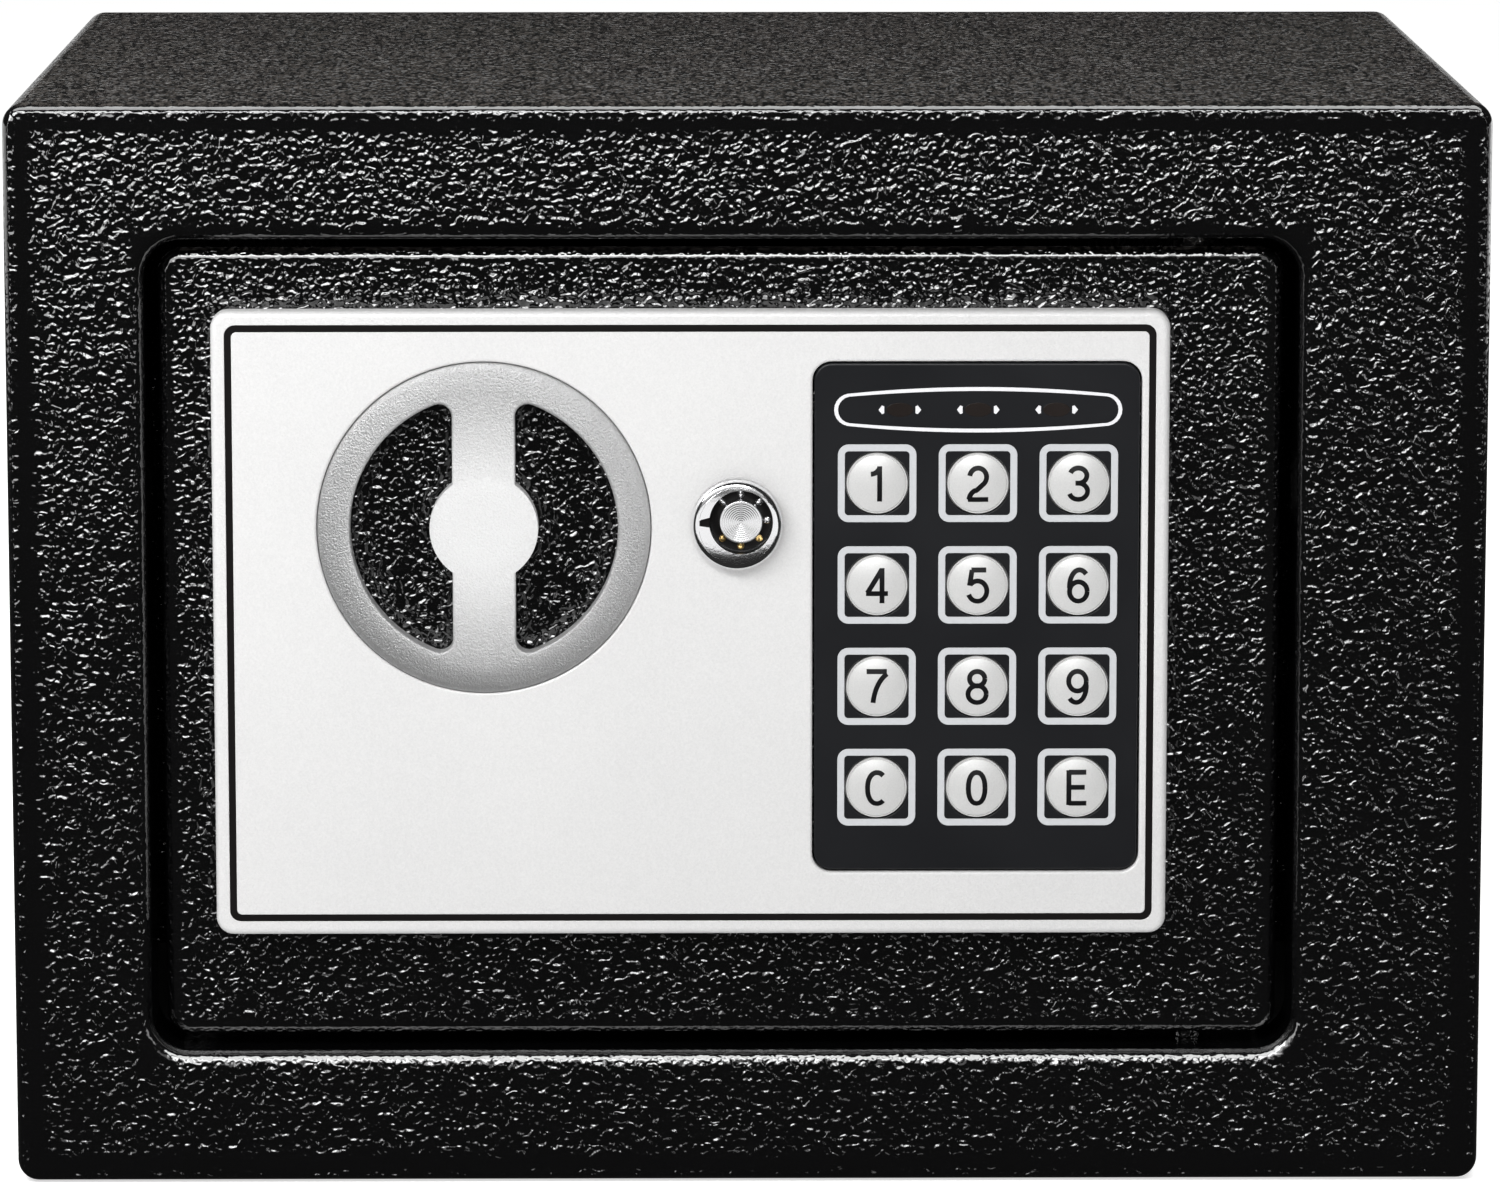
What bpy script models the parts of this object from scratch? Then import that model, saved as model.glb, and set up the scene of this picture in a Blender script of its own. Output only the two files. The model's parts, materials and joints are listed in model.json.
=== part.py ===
"""Compact electronic safe: a folded steel case with a recessed, keypad-operated door.

Run with: blender --background --python part.py

Constants and outlines are in millimetres, and mesh points are turned into metres as each
object is made. X is to the right, Y goes into the safe and Z is up. A place that is given
as a depth is measured from the plane of the front frame, backwards; the origin is at the
middle of the bottom of the object's bounding box.
"""

import math

import bmesh
import bpy
from mathutils import Vector

MM = 0.001
GAP = 0.3                      # space kept between pieces that touch

# Case
CASE_WIDTH = 230.0
CASE_HEIGHT = 170.0
CASE_DEPTH = 170.0
CASE_SHEET = 1.2
CASE_CORNER = 3.4              # radius of the four long edges
FRONT_EDGE = 3.2               # radius where the walls turn into the front frame
FLOOR_HOLE = 5.0               # radius of an anchor hole
ANCHOR_SPACING = 110.0

# Door opening in the front frame
OPENING = (-93.4, 85.3, 21.0, 149.0)         # left, right, bottom, top
OPENING_CORNER = 5.8
LIP_RADIUS = 2.2
LIP_DEPTH = 15.0

# Door plate
DOOR = (-91.4, 83.1, 22.8, 147.2)
DOOR_CORNER = 3.8
DOOR_FACE = 5.0
DOOR_THICK = 3.0
DOOR_BACK = DOOR_FACE + DOOR_THICK

# Door hinge
HINGE_X = 69.6
HINGE_DEPTH = 12.0
HINGE_PIN = 2.5

# Pan, the folded box on the back of the door, and its cover
PAN = (-86.0, 75.6, 27.0, 143.0)
PAN_CORNER = 3.0
PAN_SHEET = 1.0
PAN_FRONT = DOOR_BACK + GAP
PAN_BACK = 38.0
PAN_FLANGE = 8.0
COVER_THICK = 1.0
COVER_FACE = PAN_BACK + GAP + COVER_THICK
COVER_SCREW_INSET = 4.0

# Face panel and what it frames
PANEL = (-83.2, 65.4, 39.6, 137.9)
PANEL_CORNER = 2.7
PANEL_FACE = 1.2
PANEL_BACK = DOOR_FACE - GAP
PANEL_STUDS = ((-77.0, 45.5), (-77.0, 132.0), (3.0, 45.5), (3.0, 132.0))

# Knob
KNOB_X = -41.0
KNOB_Z = 104.0
KNOB_RADIUS = 25.9
KNOB_RING = 20.8               # inner radius of the ring
KNOB_HUB = 8.45
KNOB_BAR = 4.88                # half width of the bar
KNOB_FILLET = 2.0
KNOB_FACE = 0.0
KNOB_BACK = 4.0
SPINDLE = 4.0

# Bolt work
THROW = 12.0
CRANK = THROW / 2 / math.sin(math.radians(45))
CRANK_PIN = 2.5
CARRIAGE = (18.0, 20.0)        # depths of the carriage plate's two faces
BOLT_RADIUS = 6.0
BOLT_DEPTH = 22.0
BOLT_Z = (53.0, 117.0)
BOLT_TIP_X = -88.0
FLANGE_X = -71.0               # middle of the carriage's bent flange
STUDS = ((-58.0, 85.0), (-22.0, 56.0))
STUD_NECK = 2.5

# Solenoid
PLUNGER_X = -14.0
PLUNGER_DEPTH = 19.0
PLUNGER_RADIUS = 2.5
PLUNGER_TIP_Z = 66.5
TOOTH_TOP_Z = 65.5
ARM_TOP_Z = 62.0
COIL_Z = (75.8, 94.2)

# Key-operated override lock
LOCK_X = -1.7
LOCK_Z = 104.6
LOCK_FACE = -1.6
LOCK_FLANGE = 7.05
LOCK_BODY = 6.3
LOCK_END = 17.0
PLUG_X = LOCK_X + 0.6          # the plug sits a little off the barrel's centre
PLUG_Z = LOCK_Z + 0.6
PLUG_RADIUS = 4.75
POST_RADIUS = 3.35
CAM_REACH = 9.6

# Keypad
KEYPAD = (10.3, 60.8, 49.8, 129.7)
KEYPAD_CORNER = 2.7
KEYPAD_FACE = 1.6
KEYPAD_BACK = 2.9
KEY_X = 35.7                   # middle column
KEY_Z = 86.9                   # middle of the four rows
KEY_PITCH = (15.65, 16.0)
KEY_RADIUS = 4.75
KEY_CROWN = 0.6
KEY_NAMES = (
    ("key_1", "key_2", "key_3"),
    ("key_4", "key_5", "key_6"),
    ("key_7", "key_8", "key_9"),
    ("key_clear", "key_0", "key_enter"),
)
LENS = (35.7, 122.4, 21.8, 3.0)              # centre x, centre z, half width, half height
LED_PITCH = 12.2
BOARD = (12.0, 59.0, 51.5, 128.0)
BOARD_DEPTH = (6.4, 8.0)

# Battery tray and reset button
TRAY = (6.0, 66.0, 37.0, 99.0)
TRAY_DEPTH = (20.5, 36.7)
TRAY_WALL = 1.3
CELL_RADIUS = 7.1
CELL_X = (11.5, 60.5)
CELL_PITCH = 14.7
RESET_X = 40.0
RESET_Z = 124.0

# The lock's flange stands furthest forward, so the front frame's plane lies this far
# forward of the middle of the bounding box.
FRONT_Y = -(CASE_DEPTH - LOCK_FACE) / 2 - LOCK_FACE

MATERIALS = {
    "case_paint": ((0.012, 0.012, 0.013), 0.35, 0.0),
    "inner_paint": ((0.02, 0.02, 0.022), 0.5, 0.0),
    "panel_silver": ((0.62, 0.62, 0.63), 0.4, 0.6),
    "knob_silver": ((0.45, 0.45, 0.46), 0.38, 0.7),
    "keypad_black": ((0.015, 0.016, 0.02), 0.3, 0.0),
    "key_silver": ((0.6, 0.6, 0.6), 0.35, 0.7),
    "lens_smoke": ((0.03, 0.02, 0.02), 0.1, 0.0),
    "led_red": ((0.5, 0.02, 0.02), 0.3, 0.0),
    "chrome": ((0.7, 0.7, 0.7), 0.1, 1.0),
    "zinc_steel": ((0.5, 0.5, 0.48), 0.35, 1.0),
    "board_green": ((0.02, 0.12, 0.05), 0.5, 0.0),
    "nylon": ((0.8, 0.8, 0.76), 0.5, 0.0),
    "coil_tape": ((0.55, 0.35, 0.05), 0.5, 0.0),
    "black_plastic": ((0.02, 0.02, 0.02), 0.45, 0.0),
    "cell_wrap": ((0.06, 0.2, 0.12), 0.4, 0.0),
    "reset_red": ((0.55, 0.02, 0.02), 0.4, 0.0),
    "mat_felt": ((0.02, 0.02, 0.022), 0.95, 0.0),
    "wire_red": ((0.5, 0.03, 0.02), 0.5, 0.0),
}


# ---------------------------------------------------------------- scene helpers


def clear_scene():
    for obj in list(bpy.data.objects):
        bpy.data.objects.remove(obj)


def material(name):
    """The named material, made the first time it is asked for."""
    made = bpy.data.materials.get(name)
    if made is None:
        colour, roughness, metallic = MATERIALS[name]
        made = bpy.data.materials.new(name)
        made.use_nodes = True
        shader = made.node_tree.nodes["Principled BSDF"]
        shader.inputs["Base Color"].default_value = (*colour, 1)
        shader.inputs["Roughness"].default_value = roughness
        shader.inputs["Metallic"].default_value = metallic
    return made


def world(x, depth, z):
    """A point in millimetres, its Y counted from the bounding box's middle."""
    return Vector((x, FRONT_Y + depth, z))


def axis_empty(name, point, parent=None):
    """An empty on a joint's axis, which the pieces that move together hang from."""
    empty = bpy.data.objects.new(name, None)
    bpy.context.collection.objects.link(empty)
    empty["place"] = list(point)
    attach(empty, point, parent)
    return empty


def attach(obj, origin, parent):
    base = Vector(parent["place"]) if parent else Vector((0, 0, 0))
    obj.parent = parent
    obj.location = (origin - base) * MM


def place(name, shape, surface, origin=None, parent=None):
    """Makes the object of a shape built in millimetres, with its own origin."""
    origin = origin or (Vector(parent["place"]) if parent else Vector((0, 0, 0)))
    bmesh.ops.recalc_face_normals(shape, faces=shape.faces)
    bmesh.ops.translate(shape, verts=shape.verts, vec=-origin)
    bmesh.ops.scale(shape, verts=shape.verts, vec=(MM, MM, MM))
    mesh = bpy.data.meshes.new(name)
    shape.to_mesh(mesh)
    shape.free()
    mesh.shade_smooth()
    mesh.set_sharp_from_angle(angle=math.radians(35))
    mesh.materials.append(material(surface))
    obj = bpy.data.objects.new(name, mesh)
    bpy.context.collection.objects.link(obj)
    attach(obj, origin, parent)
    return obj


def boolean(obj, shape, operation, name):
    """Cuts a shape out of an object, or joins it on, with an applied modifier."""
    helper = place(name, shape, "zinc_steel")
    bpy.context.view_layer.update()
    modifier = obj.modifiers.new(name, "BOOLEAN")
    modifier.operation = operation
    modifier.solver = "EXACT"
    modifier.object = helper
    graph = bpy.context.evaluated_depsgraph_get()
    result = bpy.data.meshes.new_from_object(obj.evaluated_get(graph))
    obj.modifiers.clear()
    old = obj.data
    obj.data = result
    result.name = obj.name
    bpy.data.meshes.remove(old)
    bpy.data.objects.remove(helper)
    return obj


def cut(obj, shape):
    return boolean(obj, shape, "DIFFERENCE", "cutter")


def join(obj, shape):
    return boolean(obj, shape, "UNION", "joined_piece")


# ---------------------------------------------------------------- outlines


def arc(x, z, radius, start, end, steps):
    """Points on an arc, angles in degrees, both ends included."""
    points = []
    for i in range(steps + 1):
        angle = math.radians(start + (end - start) * i / steps)
        points.append((x + radius * math.cos(angle), z + radius * math.sin(angle)))
    return points


def circle(x, z, radius, segments=24):
    return arc(x, z, radius, 0, 360 - 360 / segments, segments - 1)


def rounded(box, radius, steps=4):
    """A rectangle (left, right, low, high) with round corners."""
    left, right, low, high = box
    points = []
    for x, z, start in (
        (right - radius, high - radius, 0),
        (left + radius, high - radius, 90),
        (left + radius, low + radius, 180),
        (right - radius, low + radius, 270),
    ):
        points += arc(x, z, radius, start, start + 90, steps)
    return points


def grown(box, by):
    left, right, low, high = box
    return (left - by, right + by, low - by, high + by)


def slot_outline(left, right, z, radius, steps=6):
    """A round-ended slot along X."""
    return arc(right, z, radius, -90, 90, steps) + arc(left, z, radius, 90, 270, steps)


def tall_slot(x, low, high, radius, steps=6):
    """A round-ended slot along Z."""
    return arc(x, high, radius, 0, 180, steps) + arc(x, low, radius, 180, 360, steps)


def lens_outline(grow, steps=6):
    """A long lens shape: two shallow arcs that meet small round ends."""
    x, z, half_width, half_height = LENS
    half_height += grow
    end = half_height * 0.72
    reach = half_width + grow - end
    sag = half_height - end
    points = []
    for sign in (1, -1):
        points += arc(x + sign * reach, z, end, 90 - 90 * sign - 80, 90 - 90 * sign + 80, steps)
        for i in range(1, steps):
            share = i / steps
            along = reach * (1 - 2 * share)
            rise = end + sag * (1 - (along / reach) ** 2)
            points.append((x + sign * along, z + sign * rise))
    return points


def knob_opening(side):
    """The D-shaped finger opening beside the bar: side is 1 on the right, -1 on the left."""
    centre_x = KNOB_BAR + KNOB_FILLET
    centre_z = math.sqrt((KNOB_RING - KNOB_FILLET) ** 2 - centre_x**2)
    lean = math.degrees(math.atan2(centre_z, centre_x))
    hub_angle = math.degrees(math.acos(KNOB_BAR / KNOB_HUB))
    points = arc(centre_x, centre_z, KNOB_FILLET, 180, lean, 4)
    points += arc(0, 0, KNOB_RING, lean, -lean, 14)[1:-1]
    points += arc(centre_x, -centre_z, KNOB_FILLET, -lean, -180, 4)
    points += arc(0, 0, KNOB_HUB, -hub_angle, hub_angle, 8)
    return [(KNOB_X + side * x, KNOB_Z + z) for x, z in points]


def key_centre(row, column):
    x = KEY_X + (column - 1) * KEY_PITCH[0]
    z = KEY_Z + (1.5 - row) * KEY_PITCH[1]
    return x, z


# ---------------------------------------------------------------- solids


def slab(outline, front, back, holes=()):
    """A plate standing in the XZ plane between two depths, with holes through it."""
    shape = bmesh.new()
    edges = []
    for loop in (outline, *holes):
        corners = [shape.verts.new(world(x, front, z)) for x, z in loop]
        edges += [
            shape.edges.new((corners[i - 1], corners[i])) for i in range(len(corners))
        ]
    bmesh.ops.triangle_fill(shape, use_beauty=True, edges=edges)
    deeper = bmesh.ops.extrude_face_region(shape, geom=list(shape.faces))
    moved = [v for v in deeper["geom"] if isinstance(v, bmesh.types.BMVert)]
    bmesh.ops.translate(shape, verts=moved, vec=(0, back - front, 0))
    return shape


def block(left, right, front, back, low, high):
    return slab([(left, low), (right, low), (right, high), (left, high)], front, back)


def turned(profile, centre, axis, segments=16):
    """A turned solid. The profile is a closed run of (radius, place along the axis); a
    profile that ends on the axis at both ends makes a solid bar, any other a ring."""
    shape = bmesh.new()
    solid = profile[0][0] == 0 and profile[-1][0] == 0
    rings = []
    for radius, along in profile:
        count = 1 if radius == 0 else segments
        ring = []
        for i in range(count):
            turn = 2 * math.pi * i / segments
            a = radius * math.cos(turn)
            b = radius * math.sin(turn)
            ring.append(
                shape.verts.new(
                    {
                        "x": Vector((along, centre[0] + a, centre[1] + b)),
                        "y": Vector((centre[0] + a, along, centre[1] + b)),
                        "z": Vector((centre[0] + a, centre[1] + b, along)),
                    }[axis]
                )
            )
        rings.append(ring)
    pairs = zip(rings, rings[1:] if solid else rings[1:] + rings[:1])
    for first, second in pairs:
        for i in range(segments):
            j = (i + 1) % segments
            corners = [
                first[i % len(first)],
                first[j % len(first)],
                second[j % len(second)],
                second[i % len(second)],
            ]
            corners = list(dict.fromkeys(corners))
            if len(corners) > 2:
                shape.faces.new(corners)
    bmesh.ops.translate(shape, verts=shape.verts, vec=(0, FRONT_Y, 0))
    return shape


def rod_y(x, z, front, back, radius, segments=16):
    """A plain cylinder that points into the safe."""
    profile = [(0, front), (radius, front), (radius, back), (0, back)]
    return turned(profile, (x, z), "y", segments)


def rod_z(x, depth, low, high, radius, segments=16):
    profile = [(0, low), (radius, low), (radius, high), (0, high)]
    return turned(profile, (x, depth), "z", segments)


def rod_x(depth, z, left, right, radius, segments=16):
    profile = [(0, left), (radius, left), (radius, right), (0, right)]
    return turned(profile, (depth, z), "x", segments)


def lofted(rings):
    """A closed skin through rings of equal point count, the last joined to the first."""
    shape = bmesh.new()
    made = [[shape.verts.new(world(x, depth, z)) for x, z in loop] for loop, depth in rings]
    for first, second in zip(made, made[1:] + made[:1]):
        for i in range(len(first)):
            shape.faces.new((first[i - 1], first[i], second[i], second[i - 1]))
    return shape


def wire(points, radius, sides=6):
    """A round lead along a smooth curve through a few points."""
    path = []
    ends = [points[0], *points, points[-1]]
    for i in range(1, len(ends) - 2):
        a, b, c, d = (Vector(p) for p in ends[i - 1 : i + 3])
        for step in range(6):
            t = step / 6
            path.append(
                0.5 * (2 * b + (c - a) * t + (2 * a - 5 * b + 4 * c - d) * t * t
                       + (3 * b - a - 3 * c + d) * t**3)
            )
    path.append(Vector(points[-1]))
    return tube(path, radius, sides)


def tube(path, radius, sides):
    """A round tube with flat ends along a run of points."""
    shape = bmesh.new()
    up = Vector((0.13, 0.97, 0.2)).normalized()
    rings = []
    for i, point in enumerate(path):
        along = (path[min(i + 1, len(path) - 1)] - path[max(i - 1, 0)]).normalized()
        side = along.cross(up).normalized()
        up = side.cross(along).normalized()
        rings.append(
            [
                shape.verts.new(
                    point
                    + side * radius * math.cos(2 * math.pi * k / sides)
                    + up * radius * math.sin(2 * math.pi * k / sides)
                )
                for k in range(sides)
            ]
        )
    for first, second in zip(rings, rings[1:]):
        for k in range(sides):
            shape.faces.new((first[k - 1], first[k], second[k], second[k - 1]))
    shape.faces.new(rings[0])
    shape.faces.new(rings[-1])
    return shape


def screw(x, z, head_front, tip, head_radius=3.0, head_height=1.4, shank=1.4):
    """A pan-head screw along Y; its head is at the larger depth."""
    profile = [
        (0, tip),
        (shank, tip),
        (shank, head_front),
        (head_radius, head_front),
        (head_radius, head_front + head_height * 0.6),
        (head_radius * 0.7, head_front + head_height),
        (0, head_front + head_height),
    ]
    return turned(profile, (x, z), "y", 16)


# ---------------------------------------------------------------- case


def case_ring(inset, depth):
    """The case's outer outline, moved in by an inset."""
    box = (-CASE_WIDTH / 2, CASE_WIDTH / 2, 0, CASE_HEIGHT)
    radius = max(CASE_CORNER - inset, 0.15)
    return rounded(grown(box, -inset), radius), depth


def opening_ring(grow, depth):
    """The door opening's outline, made larger by an amount."""
    return rounded(grown(OPENING, grow), OPENING_CORNER + grow), depth


def case_shell():
    """Walls, front frame and the opening's lip, folded from one sheet."""
    turns = [0, 22.5, 45, 67.5, 90]
    rings = [case_ring(0, CASE_DEPTH)]
    for angle in map(math.radians, turns):
        inset = FRONT_EDGE * (1 - math.cos(angle))
        rings.append(case_ring(inset, FRONT_EDGE * (1 - math.sin(angle))))
    for angle in map(math.radians, turns):
        grow = LIP_RADIUS * (1 - math.sin(angle))
        rings.append(opening_ring(grow, LIP_RADIUS * (1 - math.cos(angle))))
    rings.append(opening_ring(0, LIP_DEPTH))
    rings.append(opening_ring(CASE_SHEET, LIP_DEPTH))
    inner = LIP_RADIUS - CASE_SHEET
    rings.append(opening_ring(CASE_SHEET, LIP_RADIUS))
    rings.append(opening_ring(CASE_SHEET + inner, CASE_SHEET))
    inner = FRONT_EDGE - CASE_SHEET
    rings.append(case_ring(CASE_SHEET + inner, CASE_SHEET))
    rings.append(case_ring(CASE_SHEET, FRONT_EDGE))
    rings.append(case_ring(CASE_SHEET, CASE_DEPTH))
    case = place("case_shell", lofted(rings), "case_paint")
    margin = 4.0
    for low in (OPENING[3] - margin, OPENING[2] - margin):
        cut(case, rod_z(HINGE_X, HINGE_DEPTH, low, low + 2 * margin, HINGE_PIN + GAP))
    for x, depth in floor_hole_places():
        cut(case, rod_z(x, depth, -margin, margin, FLOOR_HOLE))


def floor_hole_places():
    return [(side * ANCHOR_SPACING / 2, CASE_DEPTH * 0.6) for side in (-1, 1)]


def back_panel():
    box = (-CASE_WIDTH / 2, CASE_WIDTH / 2, 0, CASE_HEIGHT)
    inset = CASE_SHEET + GAP
    outline = rounded(grown(box, -inset), CASE_CORNER - inset)
    holes = [
        circle(side * ANCHOR_SPACING / 2, CASE_HEIGHT / 2, FLOOR_HOLE) for side in (-1, 1)
    ]
    place("back_panel", slab(outline, CASE_DEPTH - CASE_SHEET, CASE_DEPTH, holes), "case_paint")


def floor_mat():
    side = CASE_WIDTH / 2 - CASE_SHEET - 1.5
    low = CASE_SHEET + GAP
    thick = 2.0
    front = LIP_DEPTH + 1
    back = CASE_DEPTH - CASE_SHEET - 1
    mat = place("floor_mat", block(-side, side, front, back, low, low + thick), "mat_felt")
    for x, depth in floor_hole_places():
        cut(mat, rod_z(x, depth, low - 1, low + thick + 1, FLOOR_HOLE))


# ---------------------------------------------------------------- door


def door_plate(door):
    holes = [
        circle(KNOB_X, KNOB_Z, SPINDLE + 2.0),
        circle(LOCK_X, LOCK_Z, LOCK_BODY + 0.4),
        rounded(grown(BOARD, 0.8), 2.0, 2),
    ]
    holes += [circle(x, z, 1.8, 12) for x, z in PANEL_STUDS]
    shape = slab(rounded(DOOR, DOOR_CORNER), DOOR_FACE, DOOR_BACK, holes)
    guide_studs(place("door_plate", shape, "case_paint", parent=door))


def pan_ring(inset, depth):
    return rounded(grown(PAN, -inset), max(PAN_CORNER - inset, 0.2), 3), depth


def cover_screw_places():
    left, right, low, high = grown(PAN, -COVER_SCREW_INSET)
    return [(x, z) for x in (left, right) for z in (low, high)]


def door_pan(door):
    """The folded box on the door's back, with a return flange for its cover."""
    shape = lofted(
        [
            pan_ring(0, PAN_FRONT),
            pan_ring(0, PAN_BACK),
            pan_ring(PAN_FLANGE, PAN_BACK),
            pan_ring(PAN_FLANGE, PAN_BACK - PAN_SHEET),
            pan_ring(PAN_SHEET, PAN_BACK - PAN_SHEET),
            pan_ring(PAN_SHEET, PAN_FRONT),
        ]
    )
    pan = place("door_pan", shape, "inner_paint", parent=door)
    reach = 3.0
    for z in BOLT_Z:
        cut(pan, rod_x(BOLT_DEPTH, z, PAN[0] - reach, PAN[0] + reach, BOLT_RADIUS + GAP))
    for level in PAN[2:]:
        cut(pan, rod_z(HINGE_X, HINGE_DEPTH, level - reach, level + reach, HINGE_PIN + GAP))
    for x, z in cover_screw_places():
        cut(pan, rod_y(x, z, PAN_BACK - reach, PAN_BACK + reach, 1.8, 12))


def hinge_pins(door):
    """Stepped pins riveted into the pan's top and bottom."""
    for name, level, edge, sign in (
        ("hinge_pin_top", PAN[3], OPENING[3], 1),
        ("hinge_pin_bottom", PAN[2], OPENING[2], -1),
    ):
        head = level - sign * 4.5
        inner = level - sign * (PAN_SHEET + GAP)
        collar = level + sign * GAP
        shoulder = edge - sign * 1.4
        tip = edge + sign * 4.0
        profile = [(0, head), (4.0, head), (4.0, inner), (HINGE_PIN, inner)]
        profile += [(HINGE_PIN, collar), (3.2, collar), (3.2, shoulder)]
        profile += [(HINGE_PIN, shoulder), (HINGE_PIN, tip - sign * 0.6)]
        profile += [(HINGE_PIN - 0.6, tip), (0, tip)]
        origin = world(HINGE_X, HINGE_DEPTH, level)
        shape = turned(profile, (HINGE_X, HINGE_DEPTH), "z")
        place(name, shape, "zinc_steel", origin=origin, parent=door)


def inner_cover(door):
    window = rounded(grown(TRAY, -2.0), 2.0, 2)
    holes = [window, circle(RESET_X, RESET_Z, 3.4, 16)]
    holes += [circle(x, z, 1.8, 12) for x, z in cover_screw_places()]
    shape = slab(rounded(PAN, PAN_CORNER, 3), PAN_BACK + GAP, COVER_FACE, holes)
    place("inner_cover", shape, "inner_paint", parent=door)
    for index, (x, z) in enumerate(cover_screw_places(), 1):
        shape = screw(x, z, COVER_FACE + GAP, 34.5)
        place(f"cover_screw_{index}", shape, "zinc_steel", parent=door)


# ---------------------------------------------------------------- face panel and keypad


def face_panel(door):
    holes = [
        circle(KNOB_X, KNOB_Z, KNOB_RADIUS + 0.5, 48),
        circle(LOCK_X, LOCK_Z, LOCK_BODY + 0.4),
        rounded(grown(KEYPAD, GAP), KEYPAD_CORNER + GAP),
    ]
    shape = slab(rounded(PANEL, PANEL_CORNER), PANEL_FACE, PANEL_BACK, holes)
    panel = place("face_panel", shape, "panel_silver", parent=door)
    for x, z in PANEL_STUDS:
        join(panel, rod_y(x, z, PANEL_BACK - 1, DOOR_BACK + 1.5, 1.5, 12))


def keypad_bezel(door):
    holes = [lens_outline(GAP)]
    for row in range(4):
        holes += [circle(*key_centre(row, column), KEY_RADIUS + 0.25, 16) for column in range(3)]
    shape = slab(rounded(KEYPAD, KEYPAD_CORNER), KEYPAD_FACE, KEYPAD_BACK, holes)
    place("keypad_bezel", shape, "keypad_black", parent=door)
    lens = slab(lens_outline(0), KEYPAD_FACE + 0.1, KEYPAD_BACK)
    place("indicator_lens", lens, "lens_smoke", parent=door)


def keypad_board(door):
    """Circuit board in the door plate's window, with its key mat, lamp bar and socket."""
    x, z = LENS[:2]
    top = BOARD_DEPTH[0] - GAP
    shape = slab(rounded(BOARD, 1.5, 2), *BOARD_DEPTH)
    place("keypad_board", shape, "board_green", parent=door)
    bar = block(x - 15, x + 15, 5.3, top, z - 2.2, z + 2.2)
    lamps = place("lamp_bar", bar, "led_red", parent=door)
    for side in (-1, 0, 1):
        join(lamps, rod_y(x + side * LED_PITCH, z, 3.3, 5.6, 1.5, 8))
    sheet = block(BOARD[0] + 2, BOARD[1] - 2, 5.6, top, BOARD[2] + 2, z - 4)
    key_mat = place("key_mat", sheet, "black_plastic", parent=door)
    for row in range(4):
        for column in range(3):
            join(key_mat, rod_y(*key_centre(row, column), 5.15, 5.9, 2.2, 8))
    under = BOARD_DEPTH[1] + GAP
    place("board_socket", block(13.5, 18.5, under, 12.0, 72.0, 96.0), "nylon", parent=door)


def keys(door):
    """Domed push buttons, each in its own node."""
    flange_front = KEYPAD_BACK + GAP
    rise = KEYPAD_FACE - 0.1 - KEY_CROWN
    for row, names in enumerate(KEY_NAMES):
        for column, name in enumerate(names):
            x, z = key_centre(row, column)
            dome = []
            for share in (0, 0.55, 1):
                dome.append((KEY_RADIUS * share, KEY_CROWN + rise * share**2))
            profile = dome + [
                (KEY_RADIUS, flange_front),
                (5.6, flange_front),
                (5.6, flange_front + 0.6),
                (1.5, flange_front + 0.6),
                (1.5, 4.25),
                (0, 4.25),
            ]
            axis = axis_empty(f"{name}_slide", world(x, KEYPAD_FACE, z), door)
            shape = turned(profile, (x, z), "y")
            place(name, shape, "key_silver", parent=axis)


# ---------------------------------------------------------------- knob and bolt work


def knob(door):
    axis = axis_empty("knob_axis", world(KNOB_X, DOOR_FACE, KNOB_Z), door)
    outline = circle(KNOB_X, KNOB_Z, KNOB_RADIUS, 48)
    shape = slab(outline, KNOB_FACE, KNOB_BACK, [knob_opening(1), knob_opening(-1)])
    wheel = place("knob", shape, "knob_silver", parent=axis)
    cut(wheel, rod_y(KNOB_X, KNOB_Z, 1.5, KNOB_BACK + 1, SPINDLE + GAP))
    shape = rod_y(KNOB_X, KNOB_Z, 1.8, 16.8, SPINDLE)
    place("knob_spindle", shape, "zinc_steel", parent=axis)
    clip = [(SPINDLE + 0.25, 10.4), (7.0, 10.4), (7.0, 11.2), (SPINDLE + 0.25, 11.2)]
    place("spindle_clip", turned(clip, (KNOB_X, KNOB_Z), "y"), "zinc_steel", parent=axis)
    crank_arm(axis)


def crank_arm(axis):
    """Arm that leans 45 degrees to the right of upright, with a pin for the carriage."""
    lean = 45
    pin_x = KNOB_X + CRANK * math.cos(math.radians(lean))
    pin_z = KNOB_Z + CRANK * math.sin(math.radians(lean))
    outline = arc(KNOB_X, KNOB_Z, 7.0, lean + 70, lean + 290, 12)
    outline += arc(pin_x, pin_z, 4.2, lean - 70, lean + 70, 8)
    shape = slab(outline, 14.2, 16.7, [circle(KNOB_X, KNOB_Z, SPINDLE + 0.25)])
    arm = place("crank_arm", shape, "zinc_steel", parent=axis)
    join(arm, rod_y(pin_x, pin_z, 15.4, CARRIAGE[1] + 1.6, CRANK_PIN))


def knob_bush(door):
    steps = [(SPINDLE + 0.2, 4.3), (7.8, 4.3), (7.8, 4.7), (5.7, 4.7)]
    steps += [(5.7, 10.1), (SPINDLE + 0.2, 10.1)]
    place("knob_bush", turned(steps, (KNOB_X, KNOB_Z), "y"), "nylon", parent=door)


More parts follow.
